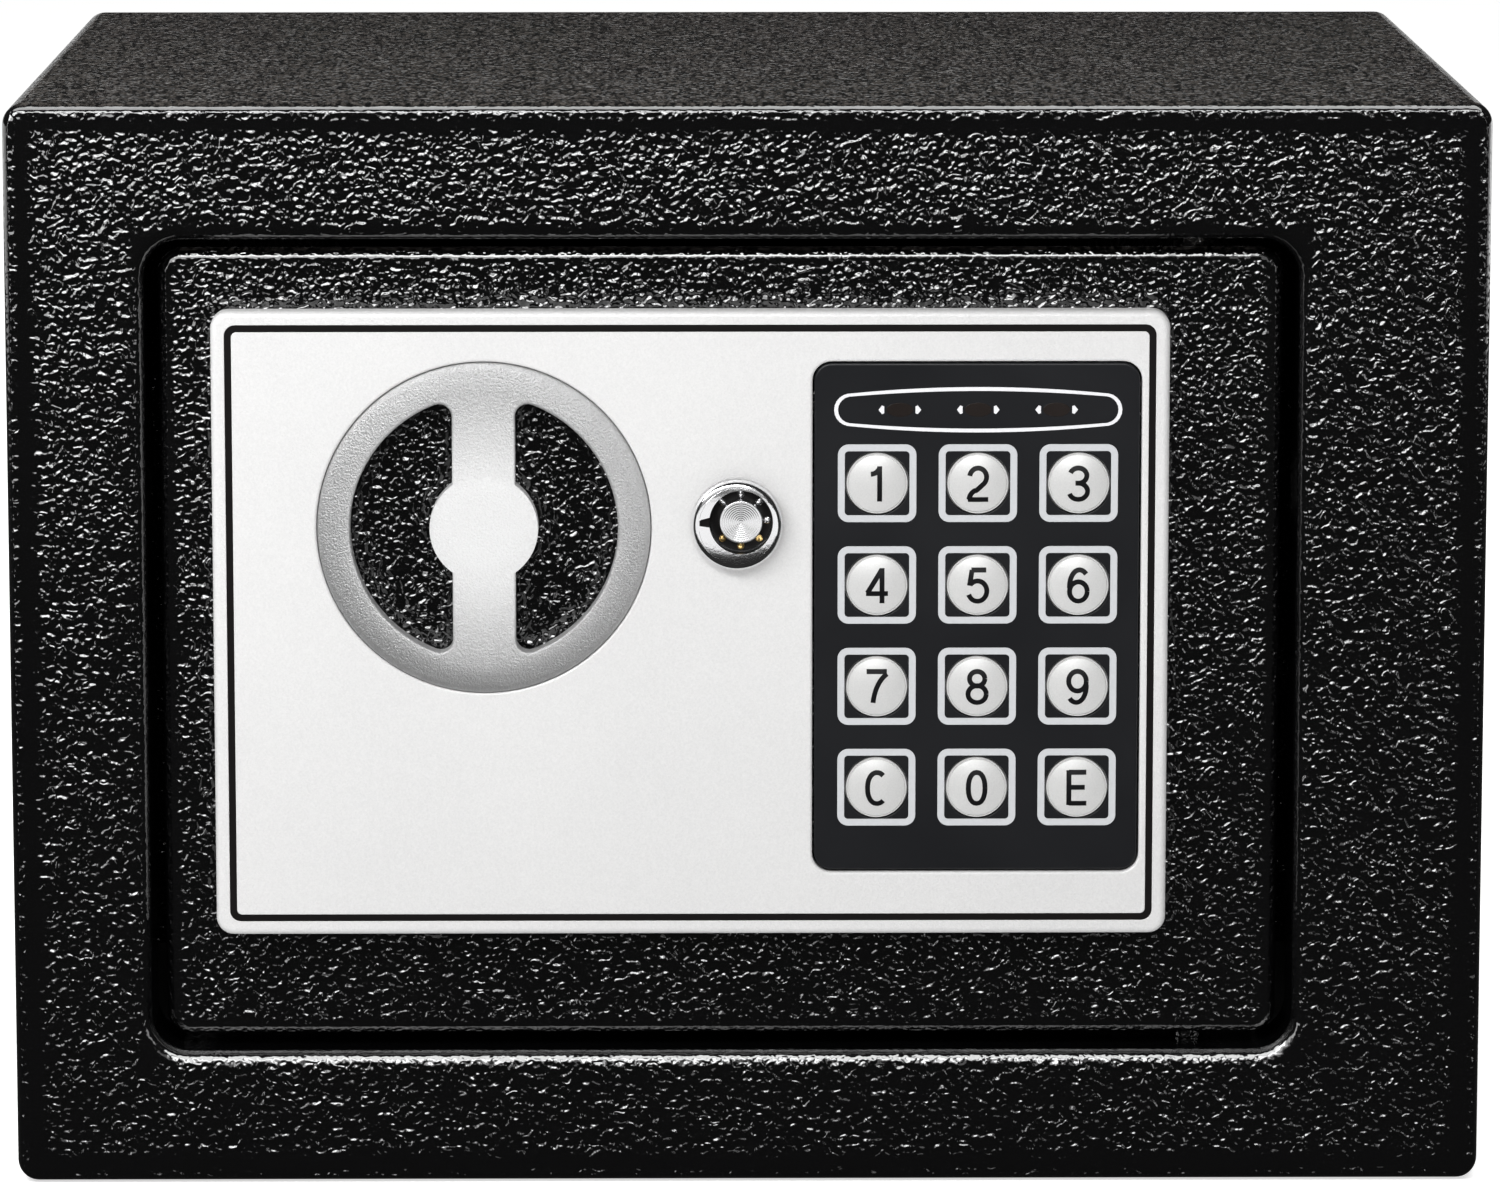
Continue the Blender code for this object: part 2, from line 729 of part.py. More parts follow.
def bolt_carriage(door):
    """The sliding plate that the crank drives, and the two bolts on its flange."""
    place_at = world(FLANGE_X, BOLT_DEPTH, (BOLT_Z[0] + BOLT_Z[1]) / 2)
    axis = axis_empty("bolt_slide", place_at, door)
    left, right = FLANGE_X, -26.0
    low, high = BOLT_Z[0] - 9, BOLT_Z[1] + 9
    arm_end = -2.0
    tooth_left = PLUNGER_X + PLUNGER_RADIUS + 0.5
    tooth_right = tooth_left + THROW - 2 * PLUNGER_RADIUS - 1.0
    outline = [(left, low), (right, low), (right, 50.0), (arm_end, 50.0)]
    outline += [(arm_end, ARM_TOP_Z), (tooth_right, ARM_TOP_Z), (tooth_right, TOOTH_TOP_Z)]
    outline += [(tooth_left, TOOTH_TOP_Z), (tooth_left, ARM_TOP_Z), (right, ARM_TOP_Z)]
    outline += [(right, high), (left, high)]
    rest_x = KNOB_X + THROW / 2
    rise = CRANK * math.cos(math.radians(45))
    play = CRANK_PIN + 0.45
    holes = [tall_slot(rest_x, KNOB_Z + rise - 0.4, KNOB_Z + CRANK + 0.4, play)]
    for x, z in STUDS:
        holes.append(slot_outline(x - 0.2, x + THROW + 0.2, z, STUD_NECK + GAP))
    carriage = place("bolt_carriage", slab(outline, *CARRIAGE, holes), "zinc_steel", parent=axis)
    front, back = BOLT_DEPTH - 6.8, BOLT_DEPTH + 6.8
    join(carriage, block(FLANGE_X - 1, FLANGE_X + 1, front, back, low, high))
    for z in BOLT_Z:
        cut(carriage, rod_x(BOLT_DEPTH, z, FLANGE_X - 4, FLANGE_X + 4, 3.3))
    rear = FLANGE_X - 1 - GAP
    tail = FLANGE_X + 2.0
    for name, z in zip(("lower_bolt", "upper_bolt"), BOLT_Z):
        profile = [(0, BOLT_TIP_X), (BOLT_RADIUS - 1, BOLT_TIP_X)]
        profile += [(BOLT_RADIUS, BOLT_TIP_X + 1), (BOLT_RADIUS, rear)]
        profile += [(3.0, rear), (3.0, tail), (0, tail)]
        shape = turned(profile, (BOLT_DEPTH, z), "x")
        place(name, shape, "chrome", parent=axis)


def guide_studs(plate):
    """Headed studs welded to the door plate, which carry the carriage."""
    for x, z in STUDS:
        front = CARRIAGE[0] - GAP
        back = CARRIAGE[1] + GAP
        profile = [(0, DOOR_BACK - 1), (4.0, DOOR_BACK - 1), (4.0, front)]
        profile += [(STUD_NECK, front), (STUD_NECK, back), (4.5, back)]
        profile += [(4.5, back + 1.2), (0, back + 1.2)]
        join(plate, turned(profile, (x, z), "y", 20))


# ---------------------------------------------------------------- solenoid


def solenoid(door):
    low, high = COIL_Z[0] - GAP - 1.5, COIL_Z[1] + GAP + 1.5
    front = DOOR_BACK + GAP
    reach = PLUNGER_DEPTH + 8.0
    back_plate = block(PLUNGER_X - 12, PLUNGER_X + 12, front, front + 1.5, low, high)
    frame = place("solenoid_frame", back_plate, "zinc_steel", parent=door)
    for start, end in ((low, low + 1.5), (high - 1.5, high)):
        join(frame, block(PLUNGER_X - 7.5, PLUNGER_X + 7.5, front, reach, start, end))
    cut(frame, rod_z(PLUNGER_X, PLUNGER_DEPTH, low - 2, high + 2, PLUNGER_RADIUS + 0.4))
    bore = PLUNGER_RADIUS + 0.4
    profile = [(bore, COIL_Z[0]), (7.5, COIL_Z[0]), (7.5, COIL_Z[0] + 1)]
    profile += [(6.9, COIL_Z[0] + 1), (6.9, COIL_Z[1] - 1), (7.5, COIL_Z[1] - 1)]
    profile += [(7.5, COIL_Z[1]), (bore, COIL_Z[1])]
    coil = turned(profile, (PLUNGER_X, PLUNGER_DEPTH), "z")
    place("solenoid_coil", coil, "coil_tape", parent=door)


def plunger(door):
    """The blocking plunger, drawn up into its coil, with a collar that the cam can lift."""
    axis = axis_empty("plunger_slide", world(PLUNGER_X, PLUNGER_DEPTH, PLUNGER_TIP_Z), door)
    tip = PLUNGER_TIP_Z
    collar = PLUG_Z + 2.3
    profile = [(0, tip), (1.8, tip), (PLUNGER_RADIUS, tip + 0.7), (PLUNGER_RADIUS, 70.2)]
    profile += [(4.0, 70.2), (4.0, 71.0), (PLUNGER_RADIUS, 71.0), (PLUNGER_RADIUS, collar)]
    profile += [(5.4, collar), (5.4, collar + 2.0), (0, collar + 2.0)]
    shape = turned(profile, (PLUNGER_X, PLUNGER_DEPTH), "z", 20)
    place("plunger", shape, "zinc_steel", parent=axis)


def plunger_spring(door):
    """Compression spring under the solenoid's frame; its turns lie nearly closed."""
    low, high = 71.3 + 0.25, COIL_Z[0] - 2 * GAP - 1.5 - 0.25
    turns = 3.5
    steps = 56
    path = []
    for i in range(steps + 1):
        turn = 2 * math.pi * turns * i / steps
        z = low + (high - low) * i / steps
        x = PLUNGER_X + 3.4 * math.cos(turn)
        path.append(world(x, PLUNGER_DEPTH + 3.4 * math.sin(turn), z))
    place("plunger_spring", tube(path, 0.22, 5), "zinc_steel", parent=door)


# ---------------------------------------------------------------- override lock


def lock_barrel(door):
    """A flanged barrel with an eccentric bore and a keying notch at its left."""
    bore = PLUG_RADIUS + 0.2
    rings = []
    for radius, depth in (
        (LOCK_BODY, LOCK_END),
        (LOCK_BODY, PANEL_FACE - GAP),
        (LOCK_FLANGE, PANEL_FACE - GAP),
        (LOCK_FLANGE, LOCK_FACE + 0.9),
        (LOCK_FLANGE - 0.9, LOCK_FACE),
    ):
        rings.append((circle(LOCK_X, LOCK_Z, radius), depth))
    for depth in (LOCK_FACE, LOCK_END):
        rings.append((circle(PLUG_X, PLUG_Z, bore), depth))
    barrel = place("lock_barrel", lofted(rings), "chrome", parent=door)
    notch_left = PLUG_X - bore - 1.2
    cut(barrel, block(notch_left, PLUG_X, LOCK_FACE - 1, 1.0, PLUG_Z - 0.75, PLUG_Z + 0.75))
    hexagon = circle(LOCK_X, LOCK_Z, 9.5, 6)
    shape = slab(hexagon, DOOR_BACK + GAP, DOOR_BACK + 3.3, [circle(LOCK_X, LOCK_Z, LOCK_BODY + 0.25)])
    place("lock_nut", shape, "zinc_steel", parent=door)


def lock_plug(door):
    """The turning plug of the barrel lock, with the cam that it carries behind."""
    axis = axis_empty("lock_axis", world(PLUG_X, LOCK_FACE, PLUG_Z), door)
    face = 3.5
    profile = [(0, LOCK_FACE + 0.4), (POST_RADIUS - 0.3, LOCK_FACE + 0.3)]
    profile += [(POST_RADIUS, LOCK_FACE + 0.6), (POST_RADIUS, face), (PLUG_RADIUS, face)]
    profile += [(PLUG_RADIUS, LOCK_END + 0.6), (2.4, LOCK_END + 0.6), (2.4, 20.1), (0, 20.1)]
    plug = place("lock_plug", turned(profile, (PLUG_X, PLUG_Z), "y"), "chrome", parent=axis)
    count = 7
    radius = (POST_RADIUS + PLUG_RADIUS) / 2
    for i in range(count):
        turn = 2 * math.pi * (i + 0.5) / count
        x = PLUG_X + radius * math.cos(turn)
        z = PLUG_Z + radius * math.sin(turn)
        join(plug, rod_y(x, z, 1.6, face + 0.4, 0.45, 6))
    outline = arc(PLUG_X, PLUG_Z, 4.6, 26, 154, 8)
    outline += [(PLUG_X - 2, PLUG_Z - CAM_REACH + 0.8), (PLUG_X - 1.2, PLUG_Z - CAM_REACH)]
    outline += [(PLUG_X + 1.2, PLUG_Z - CAM_REACH), (PLUG_X + 2, PLUG_Z - CAM_REACH + 0.8)]
    shape = slab(outline, LOCK_END + 0.9, 19.9, [circle(PLUG_X, PLUG_Z, 2.7, 16)])
    place("lock_cam", shape, "zinc_steel", parent=axis)
    shape = rod_y(PLUG_X, PLUG_Z, 20.4, 21.8, 3.8, 6)
    place("cam_nut", shape, "zinc_steel", parent=axis)


# ---------------------------------------------------------------- power and reset


def cell_rows():
    middle = (TRAY[2] + TRAY[3]) / 2
    return [middle + (i - 1.5) * CELL_PITCH for i in range(4)]


def battery_tray(door):
    """An open tray for four cells, its mouth towards the inside of the safe."""
    inner = grown(TRAY, -TRAY_WALL)
    left, right, low, high = TRAY
    front, back = TRAY_DEPTH
    tray = place("battery_tray", block(left, right, front, back, low, high), "black_plastic", parent=door)
    cut(tray, block(inner[0], inner[1], front + TRAY_WALL, back + 2, inner[2], inner[3]))
    depth = back - CELL_RADIUS - 0.3
    for index, z in enumerate(cell_rows()):
        start, end = CELL_X if index % 2 else CELL_X[::-1]
        sign = 1 if end > start else -1
        profile = [(0, start), (CELL_RADIUS - 0.4, start), (CELL_RADIUS, start + sign * 0.4)]
        profile += [(CELL_RADIUS, end - sign * 1.4), (CELL_RADIUS - 0.5, end - sign * 1.0)]
        profile += [(2.7, end - sign * 1.0), (2.7, end), (0, end)]
        shape = turned(profile, (depth, z), "x", 20)
        place(f"battery_cell_{index + 1}", shape, "cell_wrap", parent=door)


def battery_cover(door):
    box = grown(TRAY, 1.8)
    front = COVER_FACE + GAP
    origin = world((box[0] + box[1]) / 2, front, (box[2] + box[3]) / 2)
    axis = axis_empty("battery_cover_slide", origin, door)
    shape = slab(rounded(box, 3.0, 3), front, front + 2.0)
    place("battery_cover", shape, "black_plastic", parent=axis)


def reset_button(door):
    """Push button that starts a change of code, in its switch behind the cover."""
    cup = [(0, 27.0), (6.0, 27.0), (6.0, PAN_BACK), (3.4, PAN_BACK), (3.4, 29.5), (0, 29.5)]
    place("reset_switch", turned(cup, (RESET_X, RESET_Z), "y", 16), "black_plastic", parent=door)
    axis = axis_empty("reset_slide", world(RESET_X, COVER_FACE, RESET_Z), door)
    profile = [(0, 31.5), (3.0, 31.5), (3.0, 40.4), (2.4, 41.0), (0, 41.0)]
    shape = turned(profile, (RESET_X, RESET_Z), "y", 16)
    place("reset_button", shape, "reset_red", parent=axis)


def leads(door):
    """Leads from the battery tray and the solenoid to the board's sockets."""
    radius = 0.9
    start = world(13.0 - radius, 10.4, 76.0)
    route = [start, world(8.0, 12.0, 75.0), world(4.0, 18.0, 72.0), world(2.8, 26.0, 70.0)]
    route += [world(4.4, 28.0, 70.0), world(5.6, 28.2, 70.0)]
    place("battery_lead", wire(route, radius), "wire_red", parent=door)
    start = world(13.0 - radius, 10.4, 92.0)
    route = [start, world(7.0, 13.0, 90.0), world(1.0, 19.0, 86.0), world(-5.8, 19.5, 85.0)]
    place("solenoid_lead", wire(route, radius), "wire_red", parent=door)


def main():
    clear_scene()
    case_shell()
    back_panel()
    floor_mat()
    middle = (OPENING[2] + OPENING[3]) / 2
    door = axis_empty("door_hinge", world(HINGE_X, HINGE_DEPTH, middle))
    door_plate(door)
    door_pan(door)
    hinge_pins(door)
    inner_cover(door)
    face_panel(door)
    keypad_bezel(door)
    keypad_board(door)
    keys(door)
    knob(door)
    knob_bush(door)
    bolt_carriage(door)
    solenoid(door)
    plunger(door)
    plunger_spring(door)
    lock_barrel(door)
    lock_plug(door)
    battery_tray(door)
    battery_cover(door)
    reset_button(door)
    leads(door)


main()
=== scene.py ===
"""Looks for the compact electronic safe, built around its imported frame.

Lengths are in millimetres and become metres when a mesh is made. A point is written as
(x, depth, z), where depth is counted backwards from the plane of the front frame.
"""

import json
import math

import bmesh
import bpy
import numpy as np
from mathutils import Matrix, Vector
from mathutils.geometry import tessellate_polygon

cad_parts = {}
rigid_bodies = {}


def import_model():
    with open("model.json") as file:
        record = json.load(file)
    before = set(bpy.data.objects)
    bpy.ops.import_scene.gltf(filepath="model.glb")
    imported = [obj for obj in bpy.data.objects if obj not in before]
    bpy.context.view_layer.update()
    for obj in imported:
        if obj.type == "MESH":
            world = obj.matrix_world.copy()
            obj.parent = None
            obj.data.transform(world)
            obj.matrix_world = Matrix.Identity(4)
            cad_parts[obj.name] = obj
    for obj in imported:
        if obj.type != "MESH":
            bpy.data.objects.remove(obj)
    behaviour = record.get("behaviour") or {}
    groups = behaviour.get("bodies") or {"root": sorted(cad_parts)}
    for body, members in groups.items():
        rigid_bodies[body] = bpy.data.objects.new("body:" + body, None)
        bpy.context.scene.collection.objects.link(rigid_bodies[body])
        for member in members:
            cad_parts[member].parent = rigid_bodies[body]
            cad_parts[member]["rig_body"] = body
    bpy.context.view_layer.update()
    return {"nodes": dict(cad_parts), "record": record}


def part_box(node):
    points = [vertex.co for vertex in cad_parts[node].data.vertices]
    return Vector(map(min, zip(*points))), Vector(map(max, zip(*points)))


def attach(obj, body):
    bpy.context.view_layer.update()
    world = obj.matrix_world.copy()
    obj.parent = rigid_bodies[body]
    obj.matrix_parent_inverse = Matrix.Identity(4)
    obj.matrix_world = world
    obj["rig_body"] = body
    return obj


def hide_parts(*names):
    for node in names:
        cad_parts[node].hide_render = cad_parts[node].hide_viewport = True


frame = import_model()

MM = 0.001
JOIN = 1e-7                    # metres: points closer than this become one
RIM = 0.03                     # flat strip beside a rounded edge, which keeps faces level
SHARP = math.radians(40)       # edges that bend more than this stay sharp
KEY_LEGENDS = {
    "key_1": "1", "key_2": "2", "key_3": "3",
    "key_4": "4", "key_5": "5", "key_6": "6",
    "key_7": "7", "key_8": "8", "key_9": "9",
    "key_clear": "C", "key_0": "0", "key_enter": "E",
}


def span(node):
    """Left, right, front, back, low and high of a CAD node, in millimetres."""
    low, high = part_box(node)
    return (
        low.x / MM, high.x / MM,
        low.y / MM - FRONT, high.y / MM - FRONT,
        low.z / MM, high.z / MM,
    )


def face_box(node):
    """A node's outline box as seen from the front: left, right, low and high."""
    left, right, _, _, low, high = span(node)
    return (left, right, low, high)


def middle(node):
    """The middle of a node as seen from the front."""
    left, right, low, high = face_box(node)
    return (left + right) / 2, (low + high) / 2


def half_width(node):
    """Half of a node's width, which is the radius of a round one."""
    left, right = span(node)[:2]
    return (right - left) / 2


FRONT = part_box("case_shell")[0].y / MM
CASE = face_box("case_shell")
CASE_DEPTH = span("case_shell")[3]
SHEET = 1.2
CASE_CORNER = 3.4
FRONT_EDGE = 1.3               # how far the front edge's round goes in from the walls
EDGE_REACH = 4.0               # and how far it goes back
OPENING = (-93.4, 85.3, 21.0, 149.0)
OPENING_CORNER = 5.8
LIP_RADIUS = 2.5
LIP_DEPTH = 15.0
ANCHOR_X = 55.0
ANCHOR_RADIUS = 5.0
HINGE_HOLE = 2.8
DOOR = face_box("door_plate")
DOOR_CORNER = 3.8
DOOR_FACE = span("door_plate")[2]
PANEL = face_box("face_panel")
PANEL_CORNER = 2.7
LINE_INSET = 2.15              # from the panel's edge to its sunk line
LINE_WIDTH = 1.1
KEYPAD = face_box("keypad_bezel")
KEYPAD_CORNER = 2.7
KEYPAD_FACE = span("keypad_bezel")[2]
KNOB = middle("knob")
KNOB_HOLE = 26.0               # radius of the panel's opening for the knob
LOCK = middle("lock_barrel")
LOCK_FACE = span("lock_barrel")[2]
PLUG = middle("lock_plug")
HINGE = (middle("hinge_pin_top")[0], sum(span("hinge_pin_top")[2:4]) / 2)
KEY_RADIUS = 4.75
KEY_OPENING = 5.0
KEY_FRAME = (6.1, 5.02)        # half sizes of the printed frame round a key, out and in
LEGEND_SCALE = (0.92, 0.97)
LEGEND_STROKE = 0.77
LENS_HALF = (21.8, 3.0)
LAMP_PITCH = 12.15


# ---------------- outlines


def arc(x, z, radius, start, end, steps):
    """Points (x + r cos a, z + r sin a) with a from start to end, in degrees."""
    angle = np.radians(np.linspace(start, end, steps + 1))
    return np.stack([x + radius * np.cos(angle), z + radius * np.sin(angle)], 1)


def circle(x, z, radius, count=64):
    """A full ring of points, the first on the right."""
    return arc(x, z, radius, 0, 360, count)[:-1]


def grown(box, by):
    """A box of left, right, low and high with every side moved out."""
    return (box[0] - by, box[1] + by, box[2] - by, box[3] + by)


def rounded(box, radius, steps=8):
    """A rectangle with quarter-circle corners, anticlockwise from the upper right."""
    left, right, low, high = box
    r = radius
    corners = ((right - r, high - r, 0), (left + r, high - r, 90))
    corners += ((left + r, low + r, 180), (right - r, low + r, 270))
    return np.concatenate([arc(x, z, r, turn, turn + 90, steps) for x, z, turn in corners])


def moved_out(outline, by):
    """Each point pushed along the mean of its two edges' outward normals, lengthened at
    a corner so that both edges keep their distance: p + by (n1 + n2) / (1 + n1.n2)."""
    edge = np.roll(outline, -1, 0) - outline
    edge = edge / np.maximum(np.linalg.norm(edge, axis=1, keepdims=True), 1e-9)
    after = np.stack([edge[:, 1], -edge[:, 0]], 1)
    before = np.roll(after, 1, 0)
    share = 1 + np.sum(after * before, axis=1, keepdims=True)
    return outline + by * (after + before) / np.maximum(share, 0.35)


def at_depth(outline, depth):
    """Outline points with a depth, as (x, depth, z)."""
    return np.stack([outline[:, 0], np.broadcast_to(depth, len(outline)), outline[:, 1]], 1)


# ---------------- meshes


def closed_mesh(name, points, faces):
    """A mesh of (x, depth, z) points, with doubled points joined and faces turned out."""
    points = np.asarray(points, float).reshape(-1, 3) + (0, FRONT, 0)
    mesh = bpy.data.meshes.new(name)
    mesh.from_pydata((points * MM).tolist(), [], [list(face) for face in faces])
    shell = bmesh.new()
    shell.from_mesh(mesh)
    bmesh.ops.remove_doubles(shell, verts=shell.verts, dist=JOIN)
    bmesh.ops.recalc_face_normals(shell, faces=shell.faces)
    shell.to_mesh(mesh)
    shell.free()
    return mesh


def shade_round(mesh):
    """Smooth shading that breaks at sharp edges."""
    mesh.shade_smooth()
    mesh.set_sharp_from_angle(angle=SHARP)


def put_in_scene(name, data):
    """An object that holds a mesh, light or camera, linked into the scene."""
    thing = bpy.data.objects.new(name, data)
    bpy.context.scene.collection.objects.link(thing)
    return thing


def make_piece(name, points, faces, body, finish, replaces=(), slot=None):
    """Makes a mesh of (x, depth, z) points ride on a body, with its finish."""
    mesh = closed_mesh(name, points, faces)
    shade_round(mesh)
    mesh.materials.append(finish)
    piece = put_in_scene(name, mesh)
    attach(piece, body)
    if replaces:
        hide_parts(*replaces)
    return piece


def skin_faces(rows, count, joined=False):
    """Quads between neighbouring rings of a grid of rows by count points."""
    i = np.arange(rows if joined else rows - 1)[:, None]
    j = np.arange(count)[None, :]
    a = i * count + j
    b = i * count + (j + 1) % count
    down = ((i + 1) % rows) * count
    return np.stack([a, b, down + (j + 1) % count, down + j], -1).reshape(-1, 4).tolist()


def lofted(rings, joined=False):
    """Points and faces of a skin through rings; joined closes the last onto the first."""
    return np.concatenate(rings), skin_faces(len(rings), len(rings[0]), joined)


def joined_parts(*parts):
    """Several (points, faces) pairs as one."""
    points, faces, start = [], [], 0
    for part_points, part_faces in parts:
        points.append(np.asarray(part_points))
        faces += [[start + i for i in face] for face in part_faces]
        start += len(part_points)
    return np.concatenate(points), faces


def filled(loops):
    """A flat face, bounded by the first loop of points and pierced by the others."""
    flat = [[Vector((x, z, 0)) for x, _, z in loop] for loop in loops]
    return np.concatenate(loops), [list(corners) for corners in tessellate_polygon(flat)]


def edge_profile(front, back, roll, roll_back, steps=6):
    """(inset, depth) down a plate's edge: a flat rim, a quarter round of radius roll, a
    straight wall, a quarter round of radius roll_back and the back's flat rim."""
    turn = np.linspace(0, np.pi / 2, steps + 1)
    top = np.stack([roll * (1 - np.sin(turn)), front + roll * (1 - np.cos(turn))], 1)
    under = np.stack([roll_back * (1 - np.sin(turn)), back - roll_back * (1 - np.cos(turn))], 1)
    return np.concatenate([[(roll + RIM, front)], top, under[::-1], [(roll_back + RIM, back)]])


def plate(outline, holes, front, back, roll=0.4, roll_back=0.15, hole_roll=None, steps=6, crown=()):
    """A flat plate with round edges. Each outline is carried down the edge profile,
    inwards for the outer one and outwards for a hole, and the faces are filled between.
    A crown is a list of (inset, depth) that takes the place of the front edge's round."""
    parts = []
    rims = []
    for index, loop in enumerate([outline, *holes]):
        sign = -1 if index == 0 else 1
        turn = roll if index == 0 or hole_roll is None else hole_roll
        profile = edge_profile(front, back, turn, roll_back, steps)
        if index == 0 and len(crown):
            profile = np.concatenate([crown, profile[2 + steps:]])
        rings = [at_depth(moved_out(loop, sign * inset), depth) for inset, depth in profile]
        parts.append(lofted(rings))
        rims.append((rings[0], rings[-1]))
    parts += [filled(loops) for loops in zip(*rims)]
    return joined_parts(*parts)


def turned(profile, centre, count=64, axis="y"):
    """A profile of (radius, place along the axis) turned once around its axis; an end on
    the axis is a pole. The place is x = c + r cos a, z = c + r sin a."""
    profile = np.asarray(profile, float)
    angle = np.linspace(0, 2 * np.pi, count, endpoint=False)
    radius, along = profile[:, :1], np.broadcast_to(profile[:, 1:], (len(profile), count))
    a = centre[0] + radius * np.cos(angle)
    b = centre[1] + radius * np.sin(angle)
    columns = {"y": (a, along, b), "z": (a, b, along), "x": (along, a, b)}[axis]
    return np.stack(columns, -1).reshape(-1, 3), skin_faces(len(profile), count)


def ribbon(path, width, surface, thick=0.1):
    """A band of a given width along a path in the front plane: four corners per point,
    the outer two on surface(x, z) and the inner two sunk below it."""
    path = np.asarray(path, float)
    along = np.gradient(path, axis=0)
    along /= np.maximum(np.linalg.norm(along, axis=1, keepdims=True), 1e-9)
    side = np.stack([-along[:, 1], along[:, 0]], 1) * width / 2
    corners = []
    for sign, sink in ((1, 0), (-1, 0), (-1, thick), (1, thick)):
        edge = path + sign * side
        corners.append(at_depth(edge, surface(*edge.T) + sink))
    grid = np.stack(corners, 1)
    count = len(path)
    faces = skin_faces(count, 4)
    last = 4 * (count - 1)
    faces += [[0, 1, 2, 3], [last, last + 1, last + 2, last + 3]]
    return grid.reshape(-1, 3), faces


def drilled(piece, *cutters):
    """Cuts round holes through a piece; a cutter is (centre, radius, start, end, axis)."""
    for centre, radius, start, end, axis in cutters:
        profile = [(0, start), (radius, start), (radius, end), (0, end)]
        drill = put_in_scene("drill", closed_mesh("drill", *turned(profile, centre, 48, axis)))
        bpy.context.view_layer.update()
        cut = piece.modifiers.new("cut", "BOOLEAN")
        cut.object = drill
        cut.solver = "EXACT"
        graph = bpy.context.evaluated_depsgraph_get()
        result = bpy.data.meshes.new_from_object(piece.evaluated_get(graph))
        piece.modifiers.clear()
        piece.data = result
        bpy.data.objects.remove(drill)
    shade_round(piece.data)


# ---------------- finishes


class Socket:
    """A node's output, on which sums are written as arithmetic."""

    def __init__(self, finish, output):
        self.finish = finish
        self.output = output

    def math(self, operation, first, second):
        return self.finish.node("ShaderNodeMath", {"operation": operation}, {0: first, 1: second})

    def __add__(self, other):
        return self.math("ADD", self, other)

    def __radd__(self, other):
        return self.math("ADD", other, self)

    def __sub__(self, other):
        return self.math("SUBTRACT", self, other)

    def __rsub__(self, other):
        return self.math("SUBTRACT", other, self)

    def __mul__(self, other):
        return self.math("MULTIPLY", self, other)

    def __pow__(self, other):
        return self.math("POWER", self, other)

    def least(self, other):
        return self.math("MINIMUM", self, other)

    def most(self, other):
        return self.math("MAXIMUM", self, other)

    def above(self, low, high):
        """0 at low, 1 at high, straight between and flat beyond."""
        return self.finish.node("ShaderNodeMapRange", {}, {0: self, 1: low, 2: high, 3: 0.0, 4: 1.0})

    def wave(self):
        """sin(2 pi v) of this value v."""
        return self.finish.node("ShaderNodeMath", {"operation": "SINE"}, {0: self * math.tau})


class Finish:
    """A material around one Principled shader."""

    def __init__(self, name, colour, roughness, metallic=0.0, **constants):
        self.material = bpy.data.materials.new(name)
        self.material.use_nodes = True
        self.tree = self.material.node_tree
        self.shader = self.tree.nodes["Principled BSDF"]
        self.place = Socket(self, self.tree.nodes.new("ShaderNodeTexCoord").outputs["Object"])
        self.set("Base Color", (*colour, 1.0))
        self.set("Roughness", roughness)
        self.set("Metallic", metallic)
        for socket, value in constants.items():
            self.set(socket.replace("_", " "), value)

    def plug(self, node, key, value):
        if isinstance(value, Socket):
            self.tree.links.new(value.output, node.inputs[key])
        elif value is not None:
            node.inputs[key].default_value = value

    def set(self, socket, value):
        self.plug(self.shader, socket, value)

    def node(self, kind, settings=None, sockets=None, out=0):
        """Adds a node: its settings first, then its sockets' values or links."""
        made = self.tree.nodes.new(kind)
        for key, value in (settings or {}).items():
            setattr(made, key, value)
        for key, value in (sockets or {}).items():
            self.plug(made, key, value)
        return Socket(self, made.outputs[out])

    def noise(self, size, detail=2.0, roughness=0.5, distortion=0.0, stretch=None):
        """Cloudy noise whose features are about size millimetres across."""
        place = self.place
        if stretch:
            place = self.node("ShaderNodeMapping", {}, {"Vector": place, "Scale": stretch})
        sockets = {"Vector": place, "Scale": 1 / (size * MM), "Detail": detail}
        sockets.update({"Roughness": roughness, "Distortion": distortion})
        return self.node("ShaderNodeTexNoise", {}, sockets)

    def cells(self, size):
        """Distance from the walls between cells about size millimetres across."""
        sockets = {"Vector": self.place, "Scale": 1 / (size * MM)}
        return self.node("ShaderNodeTexVoronoi", {"feature": "DISTANCE_TO_EDGE"}, sockets)

    def parts(self):
        """x, depth and z of the point, in millimetres."""
        split = self.tree.nodes.new("ShaderNodeSeparateXYZ")
        self.tree.links.new(self.place.output, split.inputs[0])
        x, y, z = (Socket(self, output) * (1 / MM) for output in split.outputs)
        return x, y - FRONT, z

    def mix(self, share, first, second):
        """A colour between two colours."""
        sockets = {0: share, 6: (*first, 1) if isinstance(first, tuple) else first}
        sockets[7] = (*second, 1) if isinstance(second, tuple) else second
        return self.node("ShaderNodeMix", {"data_type": "RGBA"}, sockets, out=2)

    def tint(self, share, first, second):
        """Varies the base colour between two colours."""
        self.set("Base Color", self.mix(share, first, second))

    def bump(self, height, relief):
        """Tilts the shading by a height that spans relief millimetres."""
        sockets = {"Height": height, "Distance": relief * MM, "Strength": 1.0}
        self.set("Normal", self.node("ShaderNodeBump", {}, sockets))


